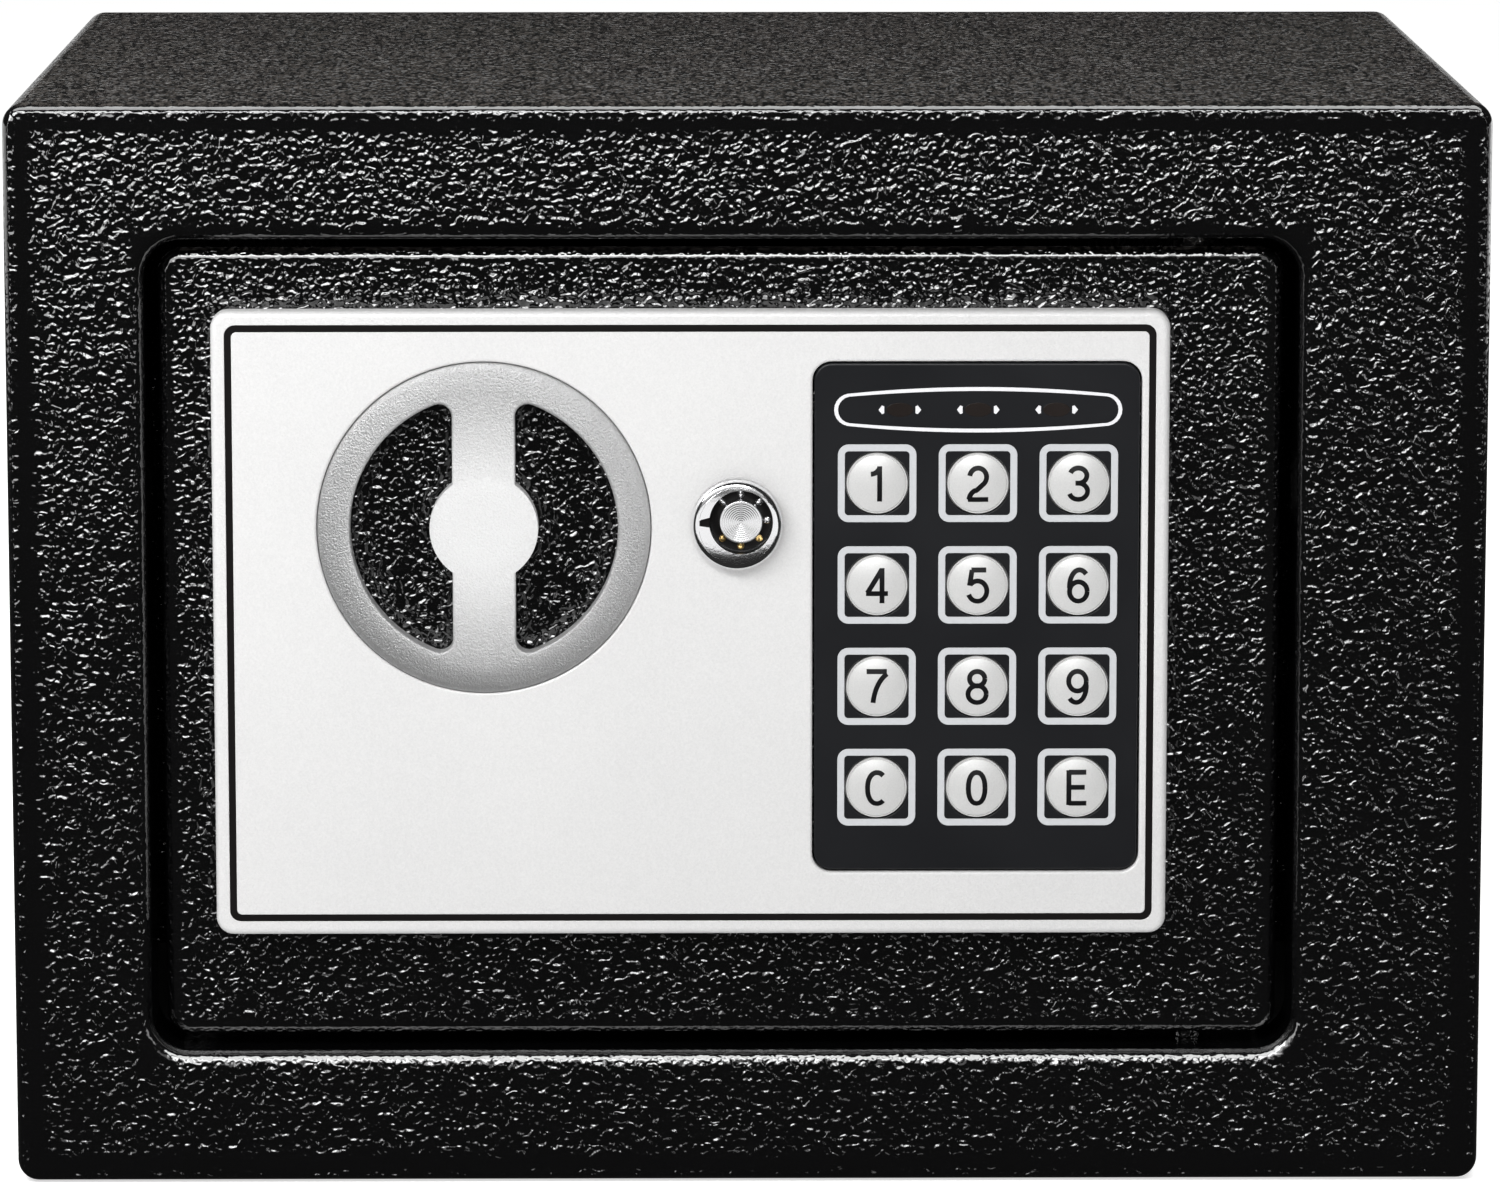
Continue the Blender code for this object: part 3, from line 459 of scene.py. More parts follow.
def hammered_paint(name, box, smooth, rough, sides, hole=None):
    """Thick gloss black powder coat, drawn up into short worm-like wrinkles.

    The height is the wave of a cloudy noise, sin(2 pi n t), with blisters and a fine
    grain added. It fades to a smooth band between smooth and rough millimetres inside the
    edges of a box, in front of the depth called sides, with a thin rough line within that
    band. Inside a hole's outline it fades at every depth. The box's top is painted paler:
    dust, and a painted sheen of the light that grazes it.
    """
    finish = Finish(name, (0.001, 0.001, 0.001), 0.1, IOR=2.0)
    waves = 3.1
    wrinkles = (finish.noise(1.7, 0.5, 0.45, 0.35) * waves).wave()
    blisters = finish.noise(0.9, 0.0, 0.5, 0.3) - 0.5
    fine = finish.noise(0.7, 0.0) - 0.5
    x, depth, z = finish.parts()
    inset = (x - box[0]).least(box[1] - x).least(z - box[2]).least(box[3] - z)
    line_starts = inset.above(smooth * 0.27, smooth * 0.35)
    line_ends = inset.above(smooth * 0.55, smooth * 0.75)
    thin_line = line_starts * (1 - line_ends) * 0.75
    least_shown = 0.12
    walls = depth.above(sides, sides + 2.5)
    shown = inset.above(smooth, rough).most(walls).most(thin_line) * (1 - least_shown) + least_shown
    if hole:
        clear = (hole[0] - x).most(x - hole[1]).most(hole[2] - z).most(z - hole[3])
        shown = shown * (clear.above(LIP_RADIUS * 0.3, LIP_RADIUS * 0.9) * 0.85 + 0.15)
    # Painted sheen with dust: the top face is painted paler and mottled, in place of the sheen that
    # grazing light gives it.
    dust_and_sheen = finish.noise(0.75, 2.0, 0.6, stretch=(1, 0.3, 1)).above(0.42, 0.64)
    dust_and_sheen = dust_and_sheen * z.above(box[3] - 0.4, box[3] - 0.1)
    finish.tint(dust_and_sheen, (0.0008, 0.0008, 0.0009), (0.062, 0.056, 0.051))
    height = wrinkles * 0.044 + blisters * 0.36 + fine * 0.08
    finish.bump(height * shown, 1.0)
    return finish.material


def satin_paint():
    """The thinner, finer black coat of the parts inside."""
    finish = Finish("satin_paint", (0.006, 0.006, 0.0065), 0.42)
    grain = finish.noise(0.9, 3.0)
    finish.set("Roughness", 0.36 + finish.noise(14, 2.0) * 0.16)
    finish.tint(finish.noise(25, 2.0), (0.004, 0.004, 0.0045), (0.011, 0.011, 0.012))
    finish.bump(grain, 0.12)
    return finish.material


def silver_lacquer():
    """Pale silver lacquer with a fine metallic fleck."""
    finish = Finish("silver_lacquer", (0.8, 0.8, 0.81), 0.42, 0.15)
    fleck = finish.noise(0.28, 2.0, 0.7)
    cloud = finish.noise(30, 2.0)
    shade = fleck * 0.8 + cloud * 0.2
    finish.tint(shade, (0.48, 0.48, 0.485), (0.67, 0.665, 0.66))
    finish.set("Roughness", 0.36 + fleck * 0.14)
    finish.bump(fleck, 0.07)
    return finish.material


def knob_lacquer():
    """Aluminium-coloured lacquer over a sand-blasted casting, paler where it is handled."""
    finish = Finish("knob_lacquer", (0.6, 0.6, 0.61), 0.42, 0.8)
    fleck = finish.noise(0.32, 3.0, 0.65)
    x, _, z = finish.parts()
    radius = ((x - KNOB[0]) ** 2 + (z - KNOB[1]) ** 2) ** 0.5
    outer = radius.above(7.0, 23.5)
    worn = finish.mix(fleck, (0.49, 0.49, 0.495), (0.66, 0.66, 0.66))
    cast = finish.mix(fleck, (0.42, 0.42, 0.425), (0.76, 0.76, 0.76))
    finish.tint(outer, worn, cast)
    finish.set("Metallic", 0.15 + outer * 0.72)
    finish.set("Roughness", 0.34 + fleck * 0.18)
    finish.bump(fleck, 0.2)
    return finish.material


def key_lacquer():
    """Satin silver paint of the key tops."""
    finish = Finish("key_lacquer", (0.66, 0.66, 0.66), 0.4, 0.35)
    fleck = finish.noise(0.22, 2.0, 0.6)
    finish.tint(fleck, (0.58, 0.58, 0.58), (0.72, 0.72, 0.71))
    finish.set("Roughness", 0.34 + fleck * 0.12)
    finish.bump(fleck, 0.025)
    return finish.material


def printed(name, colour, roughness=0.45):
    """Flat screen-print ink."""
    finish = Finish(name, colour, roughness)
    grain = finish.noise(0.5, 2.0)
    pale = tuple(min(1.0, c * 1.12) for c in colour)
    finish.tint(grain, colour, pale)
    finish.bump(grain, 0.01)
    return finish.material


def moulded(name, colour, roughness=0.4, grain_size=0.6, relief=0.03):
    """Moulded plastic with a fine spark-eroded grain."""
    finish = Finish(name, colour, roughness)
    grain = finish.noise(grain_size, 3.0)
    cloud = finish.noise(18, 2.0)
    pale = tuple(c * 1.35 + 0.002 for c in colour)
    finish.tint(cloud, colour, pale)
    finish.set("Roughness", (roughness - 0.05) + cloud * 0.1)
    finish.bump(grain, relief)
    return finish.material


def polished_chrome():
    """Bright plating with faint polishing lines."""
    finish = Finish("polished_chrome", (0.93, 0.93, 0.94), 0.12, 1.0)
    smear = finish.noise(6, 3.0)
    finish.set("Roughness", 0.08 + smear * 0.1)
    finish.bump(finish.noise(0.5, 2.0), 0.012)
    return finish.material


def spun_chrome():
    """Turned end face: rings of tool marks around the plug's axis, sin(2 pi r / pitch)."""
    finish = Finish("spun_chrome", (0.9, 0.9, 0.91), 0.25, 1.0)
    pitch = 0.32
    x, _, z = finish.parts()
    radius = ((x - PLUG[0]) ** 2 + (z - PLUG[1]) ** 2) ** 0.5
    marks = (radius * (1 / pitch)).wave()
    finish.set("Roughness", 0.24 + marks * 0.06)
    finish.bump(marks, 0.012)
    return finish.material


def zinc_plate():
    """Zinc-plated steel with a mottled, slightly blue passivation."""
    finish = Finish("zinc_plate", (0.5, 0.51, 0.53), 0.32, 1.0)
    spangle = finish.noise(5, 3.0)
    finish.tint(spangle, (0.42, 0.43, 0.46), (0.62, 0.62, 0.6))
    finish.set("Roughness", 0.24 + spangle * 0.2)
    finish.bump(finish.noise(0.4, 3.0), 0.02)
    return finish.material


def felt():
    """Pressed black felt, with lint."""
    finish = Finish("felt", (0.02, 0.02, 0.022), 0.95, Sheen_Weight=0.4)
    fibre = finish.noise(0.35, 4.0, 0.7, 1.5)
    lint = finish.noise(1.2, 3.0).above(0.62, 0.8)
    finish.tint(lint, (0.012, 0.012, 0.013), (0.05, 0.05, 0.052))
    finish.bump(fibre, 0.4)
    return finish.material


def brass():
    """Plain brass, a little dull in places."""
    finish = Finish("brass_pin", (0.62, 0.44, 0.18), 0.28, 1.0)
    finish.set("Roughness", 0.2 + finish.noise(1.5, 2.0) * 0.2)
    return finish.material


def circuit_board():
    """Green solder mask over copper tracks."""
    finish = Finish("circuit_board", (0.01, 0.09, 0.03), 0.35)
    tracks = finish.cells(4.0).above(0.03, 0.06)
    finish.tint(tracks, (0.03, 0.2, 0.06), (0.008, 0.08, 0.028))
    return finish.material


def coil_tape():
    """Amber tape wound around a coil."""
    finish = Finish("coil_tape", (0.5, 0.3, 0.05), 0.4)
    lap = finish.noise(3, 2.0, stretch=(0.1, 0.1, 1))
    finish.tint(lap, (0.4, 0.22, 0.03), (0.65, 0.42, 0.09))
    finish.bump(lap, 0.1)
    return finish.material


def cell_sleeve():
    """Printed sleeve of a dry cell: dark body, pale band towards one end."""
    finish = Finish("cell_sleeve", (0.03, 0.12, 0.08), 0.3)
    x, _, _ = finish.parts()
    band_start, band_end, fade = 44.5, 57.5, 0.3
    band = x.above(band_start, band_start + fade) - x.above(band_end, band_end + fade)
    finish.tint(band, (0.02, 0.1, 0.07), (0.55, 0.42, 0.2))
    finish.set("Metallic", band * 0.7)
    finish.bump(finish.noise(3, 2.0), 0.02)
    return finish.material


PAINT = hammered_paint("case_paint", CASE, smooth=3.4, rough=5.2, sides=2.5, hole=OPENING)
DOOR_PAINT = hammered_paint("door_paint", DOOR, smooth=1.4, rough=2.6, sides=9.0)
INNER_PAINT = satin_paint()
SILVER = silver_lacquer()
KNOB_SILVER = knob_lacquer()
KEY_SILVER = key_lacquer()
INK_BLACK = printed("legend_ink", (0.004, 0.004, 0.005), 0.35)
INK_SILVER = printed("frame_ink", (0.42, 0.43, 0.445), 0.45)
INK_WHITE = printed("outline_ink", (0.6, 0.6, 0.62), 0.4)
# Black lacquer of the panel's sunk line, also used as painted shade: in the lock's notch, in its slot
# and in the screws' cross recesses.
SHADE_AND_LINE_BLACK = printed("line_lacquer_and_shade", (0.006, 0.005, 0.005), 0.3)
KEYPAD_BLACK = moulded("keypad_charcoal", (0.0045, 0.005, 0.0066), 0.42, 0.5, 0.012)
SMOKE = moulded("smoke_lens", (0.008, 0.0065, 0.006), 0.2, 0.5, 0.004)
LAMP = moulded("dark_lamp", (0.011, 0.008, 0.007), 0.25, 0.5, 0.01)
CHROME = polished_chrome()
SPUN = spun_chrome()
ZINC = zinc_plate()
FELT = felt()
BRASS = brass()
BLACK_PLASTIC = moulded("black_plastic", (0.012, 0.012, 0.013), 0.45, 0.5, 0.06)
RED_PLASTIC = moulded("red_plastic", (0.5, 0.015, 0.012), 0.35, 0.6, 0.02)
NYLON = moulded("nylon", (0.7, 0.7, 0.66), 0.45, 0.6, 0.02)
RED_WIRE = moulded("red_wire", (0.45, 0.02, 0.015), 0.45, 0.6, 0.01)
LED_RED = moulded("lamp_red", (0.4, 0.015, 0.012), 0.2, 0.6, 0.01)

SLOT_FINISHES = {
    "case_paint": PAINT,
    "inner_paint": INNER_PAINT,
    "panel_silver": SILVER,
    "knob_silver": KNOB_SILVER,
    "keypad_black": KEYPAD_BLACK,
    "key_silver": KEY_SILVER,
    "lens_smoke": SMOKE,
    "led_red": LED_RED,
    "chrome": CHROME,
    "zinc_steel": ZINC,
    "board_green": circuit_board(),
    "nylon": NYLON,
    "coil_tape": coil_tape(),
    "black_plastic": BLACK_PLASTIC,
    "cell_wrap": cell_sleeve(),
    "reset_red": RED_PLASTIC,
    "mat_felt": FELT,
    "wire_red": RED_WIRE,
}


def finish_frame():
    """Gives every CAD node the finish of its material slot, and the hinge pins the door's paint."""
    for part in frame["record"]["subparts"]:
        node = frame["nodes"][part["node"]]
        finish = SLOT_FINISHES[part["material_slot"]]
        if part["node"].startswith("hinge_pin"):
            finish = DOOR_PAINT
        node.data.materials.clear()
        node.data.materials.append(finish)


# ---------------- case


def case_ring(inset, depth):
    """The case's outline, moved in from the walls."""
    radius = max(CASE_CORNER - inset, 0.2)
    return at_depth(rounded(grown(CASE, -inset), radius, 10), depth)


def opening_ring(grow, depth):
    """The opening's outline, moved out over the frame."""
    return at_depth(rounded(grown(OPENING, grow), OPENING_CORNER + grow, 10), depth)


def case_skin():
    """The folded shell: rings run forward along the walls, round the front edge by
    inset = R (1 - cos a), depth = B (1 - sin a), across the frame, round the lip by
    grow = r (1 - sin a), depth = r (1 - cos a), and back along the inside."""
    turn = np.linspace(0, np.pi / 2, 19)
    rings = [case_ring(0, CASE_DEPTH)]
    for a in turn:
        rings.append(case_ring(FRONT_EDGE * (1 - math.cos(a)), EDGE_REACH * (1 - math.sin(a))))
    rings.append(case_ring(FRONT_EDGE + 0.1, 0))
    rings.append(opening_ring(LIP_RADIUS + 0.1, 0))
    for a in turn:
        rings.append(opening_ring(LIP_RADIUS * (1 - math.sin(a)), LIP_RADIUS * (1 - math.cos(a))))
    rings += [opening_ring(0, LIP_DEPTH), opening_ring(SHEET, LIP_DEPTH)]
    rings += [opening_ring(SHEET, LIP_RADIUS), opening_ring(LIP_RADIUS, SHEET)]
    rings += [case_ring(FRONT_EDGE + SHEET, SHEET), case_ring(SHEET, EDGE_REACH + SHEET)]
    rings.append(case_ring(SHEET, CASE_DEPTH))
    skin = lofted(rings, joined=True)
    shell = make_piece("case_skin", *skin, "case", PAINT, ["case_shell"], "case_paint")
    reach = 4
    holes = [(HINGE, HINGE_HOLE, z - reach, z + reach, "z") for z in OPENING[2:]]
    for side in (-1, 1):
        holes.append(((side * ANCHOR_X, CASE_DEPTH * 0.6), ANCHOR_RADIUS, -reach, reach, "z"))
    drilled(shell, *holes)


def floor_felt():
    """The mat's block with softened edges, punched for the anchor bolts."""
    left, right, front, back, low, high = span("floor_mat")
    outline = rounded((left, right, front, back), 3.0)
    holes = [circle(side * ANCHOR_X, CASE_DEPTH * 0.6, ANCHOR_RADIUS, 40) for side in (-1, 1)]
    points, faces = plate(outline, holes, low, high, 0.1, 0.7)
    make_piece("felt_mat", points[:, [0, 2, 1]], faces, "case", FELT, ["floor_mat"], "mat_felt")


# ---------------- door


def door_skin():
    """The door plate, its front edge rolled over, with the window behind the keypad."""
    back = DOOR_FACE + 3.0
    board = grown(face_box("keypad_board"), 0.8)
    holes = [circle(*KNOB, 6.0), circle(*LOCK, 6.7), rounded(board, 2.0)]
    points, faces = plate(rounded(DOOR, DOOR_CORNER, 12), holes, DOOR_FACE, back, 1.7, 0.3, 0.2, 12)
    make_piece("door_skin", points, faces, "door", DOOR_PAINT, ["door_plate"], "case_paint")


def face_panel():
    """Moulded panel: a rounded rim, a sunk line around it and three openings."""
    front = span("face_panel")[2]
    back = DOOR_FACE - 0.3
    roll, hole_roll, line_roll = 1.0, 0.45, 0.08
    outline = rounded(PANEL, PANEL_CORNER)
    line_out = rounded(grown(PANEL, -LINE_INSET), 1.7)
    line_in = rounded(grown(PANEL, -LINE_INSET - LINE_WIDTH), 0.8)
    keypad_hole = rounded(grown(KEYPAD, 0.3), KEYPAD_CORNER + 0.3)
    holes = [circle(*KNOB, KNOB_HOLE, 96), circle(*LOCK, 6.7), keypad_hole]
    outer = frame_ring(outline, line_out, front, roll, line_roll)
    inner = inner_field(line_in, holes, front, line_roll, hole_roll)
    sunk = front + 0.3
    floor = [at_depth(line_out, sunk), at_depth(line_in, sunk)]
    wall_out = [at_depth(line_out, front + line_roll), floor[0]]
    wall_in = [floor[1], at_depth(line_in, front + line_roll)]
    strips = [lofted(pair) for pair in (wall_out, floor, wall_in)]
    under = plate_underside(outline, holes, front + roll, front + hole_roll, back)
    skin = joined_parts(outer, inner, *strips, under)
    make_piece("silver_panel", *skin, "door", SILVER, ["face_panel"], "panel_silver")
    top, bottom = front + 0.18, front + 0.5
    outer_rim = moved_out(line_out, 0.02)
    inner_rim = moved_out(line_in, -0.02)
    inlay = [at_depth(outer_rim, top), at_depth(outer_rim, bottom)]
    inlay += [at_depth(inner_rim, bottom), at_depth(inner_rim, top)]
    make_piece("panel_line", *lofted(inlay, joined=True), "door", SHADE_AND_LINE_BLACK)


def rolled_edge(loop, sign, roll, front):
    """Rings from a flat rim down a quarter round: inset r (1 - sin a), depth r (1 - cos a)."""
    rings = [at_depth(moved_out(loop, sign * (roll + RIM)), front)]
    for a in np.linspace(0, np.pi / 2, 9):
        edge = moved_out(loop, sign * roll * (1 - np.sin(a)))
        rings.append(at_depth(edge, front + roll * (1 - np.cos(a))))
    return rings


def frame_ring(outline, inner, front, roll, roll_in):
    """The band between the panel's edge and its line, round on both sides."""
    rings = rolled_edge(outline, -1, roll, front)[::-1] + rolled_edge(inner, 1, roll_in, front)
    return lofted(rings)


def inner_field(outline, holes, front, roll, hole_roll):
    """The flat field inside the line, pierced by the openings, whose edges are round."""
    parts = []
    rims = []
    for index, loop in enumerate([outline, *holes]):
        sign, radius = (-1, roll) if index == 0 else (1, hole_roll)
        rings = rolled_edge(loop, sign, radius, front)
        parts.append(lofted(rings))
        rims.append(rings[0])
    return joined_parts(*parts, filled(rims))


def plate_underside(outline, holes, outer_top, hole_top, back):
    """Walls down to the back face, and the back face itself."""
    loops = [outline, *holes]
    tops = [outer_top] + [hole_top] * len(holes)
    parts = []
    for loop, top in zip(loops, tops):
        parts.append(lofted([at_depth(loop, top), at_depth(loop, back)]))
    return joined_parts(*parts, filled([at_depth(loop, back) for loop in loops]))


# ---------------- knob


def finger_hole(side):
    """The D beside the bar: a ring arc, two small corner arcs and the hub's arc."""
    bar, fillet, ring, hub = 4.88, 2.0, 20.8, 8.45
    x = bar + fillet
    z = math.sqrt((ring - fillet) ** 2 - x**2)
    lean = math.degrees(math.atan2(z, x))
    open_angle = math.degrees(math.acos(bar / hub))
    loop = np.concatenate([
        arc(x, z, fillet, 180, lean, 6),
        arc(0, 0, ring, lean, -lean, 48)[1:-1],
        arc(x, -z, fillet, -lean, -180, 6),
        arc(0, 0, hub, -open_angle, open_angle, 20),
    ])
    loop = loop * (side, 1) + KNOB
    return loop if side < 0 else loop[::-1]


def knob_wheel():
    """A wheel with two finger holes and a crowned rim, d = f + 0.55 t^1.6, and a low hub
    whose face has a shallow dish, 0.12 (1 - (r / 5.6)^2)^2, and a soft shoulder."""
    _, _, front, back, _, _ = span("knob")
    rim = circle(*KNOB, half_width("knob"), 128)
    holes = [finger_hole(1), finger_hole(-1)]
    step = 0.25
    reach = np.linspace(4.45, 0.75, 9)
    fall = front + step + 0.55 * ((4.45 - reach) / 3.7) ** 1.6
    turn = np.linspace(0, np.pi / 2, 7)[1:]
    edge = np.stack([0.75 * (1 - np.sin(turn)), fall[-1] + 0.12 + 0.6 * (1 - np.cos(turn))], 1)
    crown = np.concatenate([np.stack([reach, fall], 1), edge])
    wheel = plate(rim, holes, front + step, back, 0.7, 0.2, 0.4, crown=crown)
    make_piece("knob_wheel", *wheel, "knob_set", KNOB_SILVER, ["knob"], "knob_silver")
    hub = 8.4
    radii = np.linspace(0, hub, 28)
    dish = 0.12 * np.clip(1 - (radii / 5.6) ** 2, 0, 1) ** 2
    rise = np.clip((radii - 5.8) / (hub - 5.8), 0, 1)
    face = np.stack([radii, front + dish + (step - 0.02) * rise**2 * (3 - 2 * rise)], 1)
    profile = np.concatenate([face, [(hub, front + 1.2), (0, front + 1.2)]])
    make_piece("knob_hub", *turned(profile, KNOB, 96), "knob_set", KNOB_SILVER, slot="knob_silver")


# ---------------- lock


def lock_flange():
    """The barrel's domed flange around an off-centre bore, depth = f + h (r / R)^2.6,
    with the key's notch on the left, and a black block of painted shade in that notch."""
    count, sleeve, dome, soft = 160, 6.3, 0.7, 1.1
    back = span("lock_barrel")[3]
    radius = half_width("lock_barrel")
    bore = half_width("lock_plug") + 0.2
    inner = notched_bore(bore, count)
    round_bore = circle(*PLUG, bore, count)
    rings = [at_depth(circle(*LOCK, sleeve, count), depth) for depth in (back, 0.9)]
    rings.append(at_depth(circle(*LOCK, radius, count), 0.9))
    for a in np.linspace(np.pi / 2, 0, 6):
        edge = circle(*LOCK, radius - soft * (1 - math.sin(a)), count)
        rings.append(at_depth(edge, LOCK_FACE + dome + soft * (1 - math.cos(a)) - 0.2))
    for share in np.linspace(0.02, 1, 10):
        loop = circle(*LOCK, radius - soft, count) * (1 - share) + inner * share
        rise = dome * (np.linalg.norm(loop - LOCK, axis=1) / radius) ** 2.6
        rings.append(at_depth(loop, LOCK_FACE + rise))
    rings.append(at_depth(inner, LOCK_FACE + rise + 0.3))
    rings.append(at_depth(inner, 2.6))
    rings += [at_depth(round_bore, 2.7), at_depth(round_bore, back)]
    make_piece("lock_flange", *lofted(rings, joined=True), "door", CHROME, ["lock_barrel"], "chrome")
    left = PLUG[0] - bore
    # Painted shade: a black block sits in the notch behind the face, where the keyway's hollow lies in
    # shadow.
    notch = rounded((left - 1.45, left + 0.1, PLUG[1] - 0.72, PLUG[1] + 0.72), 0.1, 3)
    make_piece("lock_notch_shade", *plate(notch, [], LOCK_FACE + 0.75, 2.5, 0.05, 0.05), "door", SHADE_AND_LINE_BLACK)


def notched_bore(bore, count):
    """A circle whose left side runs out into a square notch."""
    loop = circle(*PLUG, bore, count)
    half, reach = 0.75, bore + 1.5
    inside = (np.abs(loop[:, 1] - PLUG[1]) < half) & (loop[:, 0] < PLUG[0])
    loop[inside, 0] = PLUG[0] - reach
    return loop


def lock_core():
    """The plug: a sunk floor, a centre post with a hollow cone on its end, and pins, with a
    black ring of painted shade in the slot in front of its floor.
    """
    _, _, front, back, _, _ = span("lock_plug")
    outer = half_width("lock_plug")
    post, soft, cam = 3.35, 0.25, 2.4
    radii = np.linspace(0, post - soft, 12)
    cone = np.stack([radii, front + 0.5 - 0.35 * radii / post], 1)
    turn = np.linspace(0, np.pi / 2, 6)
    edge = np.stack([post - soft + soft * np.sin(turn), front + 0.17 + soft * (1 - np.cos(turn))], 1)
    end = [(post, 3.5), (outer, 3.5), (outer, back - 2.5), (cam, back - 2.5), (cam, back), (0, back)]
    profile = np.concatenate([cone, edge, end])
    make_piece("lock_core", *turned(profile, PLUG, 96), "lock_core", SPUN, ["lock_plug"], "chrome")
    # Painted shade: a black ring in the slot, in front of its metal floor, where the slot lies in
    # shadow.
    slot = [(post, 1.5), (outer + 0.05, 1.5), (outer + 0.05, 2.3), (post, 2.3)]
    points, _ = turned(slot, PLUG, 64)
    make_piece("lock_slot_shade", points, skin_faces(4, 64, joined=True), "lock_core", SHADE_AND_LINE_BLACK)
    track, pin = (post + outer) / 2, 0.55
    r = np.linspace(0, pin, 6)
    profile = np.concatenate([np.stack([r, 0.9 + 0.9 * r**2], 1), [(pin, 3.6), (0, 3.6)]])
    pins = {CHROME: [], BRASS: []}
    for degrees in (0, 45, 90, 135, 225, 270, 315):
        angle = math.radians(degrees)
        place = (PLUG[0] + track * math.cos(angle), PLUG[1] + track * math.sin(angle))
        pins[BRASS if degrees > 180 else CHROME].append(turned(profile, place, 20))
    for finish, group in pins.items():
        make_piece(f"{finish.name}_pins", *joined_parts(*group), "lock_core", finish, slot="zinc_steel")


# ---------------- keypad


def lens_loop(grow):
    """Two shallow parabolas, z = e + s (1 - (x / w)^2), that meet small round ends."""
    x, z = middle("indicator_lens")
    half_width, half_height = np.array(LENS_HALF) + grow
    end = half_height * 0.72
    reach = half_width - end
    sag = half_height - end
    loop = []
    for sign in (1, -1):
        start = 90 - 90 * sign - 80
        loop.append(arc(x + sign * reach, z, end, start, start + 160, 10))
        along = reach * (1 - 2 * np.linspace(0, 1, 34)[1:-1])
        rise = end + sag * (1 - (along / reach) ** 2)
        loop.append(np.stack([x + sign * along, z + sign * rise], 1))
    return np.concatenate(loop)


def around(node, half):
    """A square box about a node's middle."""
    x, z = middle(node)
    return (x - half, x + half, z - half, z + half)


def keypad():
    """The keypad's face with its openings, the lamps' lens and the printed key frames."""
    _, _, front, back, _, _ = span("keypad_bezel")
    holes = [circle(*middle(node), KEY_OPENING, 64) for node in KEY_LEGENDS]
    holes.append(lens_loop(0.3))
    face = plate(rounded(KEYPAD, KEYPAD_CORNER), holes, front, back, 0.35, 0.1, 0.12)
    make_piece("keypad_face", *face, "door", KEYPAD_BLACK, ["keypad_bezel"], "keypad_black")
    lens = plate(lens_loop(0.0), [], front + 0.02, back, 0.1, 0.1)
    make_piece("lamp_lens", *lens, "door", KEYPAD_BLACK, ["indicator_lens"], "lens_smoke")
    ring = plate(lens_loop(0.55), [lens_loop(0.0)[::-1]], front - 0.06, front + 0.3, 0.05, 0.02)
    make_piece("lamp_outline", *ring, "door", INK_WHITE)
    frames = []
    for node in KEY_LEGENDS:
        outer = rounded(around(node, KEY_FRAME[0]), 1.7)
        inner = rounded(around(node, KEY_FRAME[1]), 0.6)
        frames.append(plate(outer, [inner], front - 0.05, front + 0.25, 0.04, 0.02))
    make_piece("key_frames", *joined_parts(*frames), "door", INK_SILVER)
    lamps()


def lamps():
    """Three dark ovals under the lens, each between two small pointed marks."""
    x, z = middle("indicator_lens")
    front = KEYPAD_FACE + 0.02
    back = front + 0.2
    tip = np.array([(3.32, 0.0), (2.78, 0.68), (2.42, 0.54), (2.42, -0.54), (2.78, -0.68)])
    ovals, marks = [], []
    for index in (-1, 0, 1):
        centre = (x + LAMP_PITCH * index, z)
        oval = circle(0, 0, 1.0, 40) * (2.1, 1.1) + centre
        ovals.append(plate(oval, [], front - 0.05, back, 0.04, 0.02))
        for side in (-1, 1):
            loop = (tip * (side, 1) + centre)[::side]
            marks.append(plate(loop, [], front - 0.06, back, 0.05, 0.02))
    make_piece("lamp_windows", *joined_parts(*ovals), "door", LAMP)
    make_piece("lamp_marks", *joined_parts(*marks), "door", INK_WHITE)


def key_depth(node):
    """The dome's depth over a key's face: crown + rise (r / R)^2."""
    front = span(node)[2]
    x, z = middle(node)
    rise = KEYPAD_FACE - 0.1 - front
    return lambda px, pz: front + rise * ((px - x) ** 2 + (pz - z) ** 2) / KEY_RADIUS**2


def key_cap(node):
    """A domed cap with a fine ring around its foot, and its printed legend."""
    back = span(node)[3]
    depth = key_depth(node)
    x, z = middle(node)
    radii = np.linspace(0, 4.4, 14)
    dome = np.stack([radii, depth(x + radii, z)], 1)
    ring = np.array([(4.45, 0.06), (4.52, 0.08), (4.58, -0.02), (4.68, -0.03), (KEY_RADIUS, 0.08)])
    ring = ring + (0, depth(x + KEY_RADIUS, z))
    skirt = [(KEY_RADIUS, 3.2), (5.6, 3.2), (5.6, 3.8), (1.5, 3.8), (1.5, back), (0, back)]
    cap = turned(np.concatenate([dome, ring, skirt]), (x, z), 72)
    body = frame["nodes"][node]["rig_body"]
    make_piece(node + "_cap", *cap, body, KEY_SILVER, [node], "key_silver")
    strokes = []
    for path in legend(KEY_LEGENDS[node]):
        path = path * LEGEND_SCALE + (x, z)
        strokes.append(ribbon(path, LEGEND_STROKE, lambda px, pz: depth(px, pz) - 0.03))
    make_piece(node + "_legend", *joined_parts(*strokes), body, INK_BLACK)


def line(*points):
    """A straight run through a few points, with points close together."""
    points = np.array(points, float)
    share = np.linspace(0, len(points) - 1, 6 * (len(points) - 1) + 1)
    index = np.arange(len(points))
    return np.stack([np.interp(share, index, points[:, k]) for k in (0, 1)], 1)


def bow(x, z, wide, tall, start, end, power=1.0):
    """Part of an ellipse; a power under 1 squares its shoulders."""
    angle = np.radians(np.linspace(start, end, 25))
    c, s = np.cos(angle), np.sin(angle)
    across = wide * np.sign(c) * np.abs(c) ** power
    up = tall * np.sign(s) * np.abs(s) ** power
    return np.stack([x + across, z + up], 1)


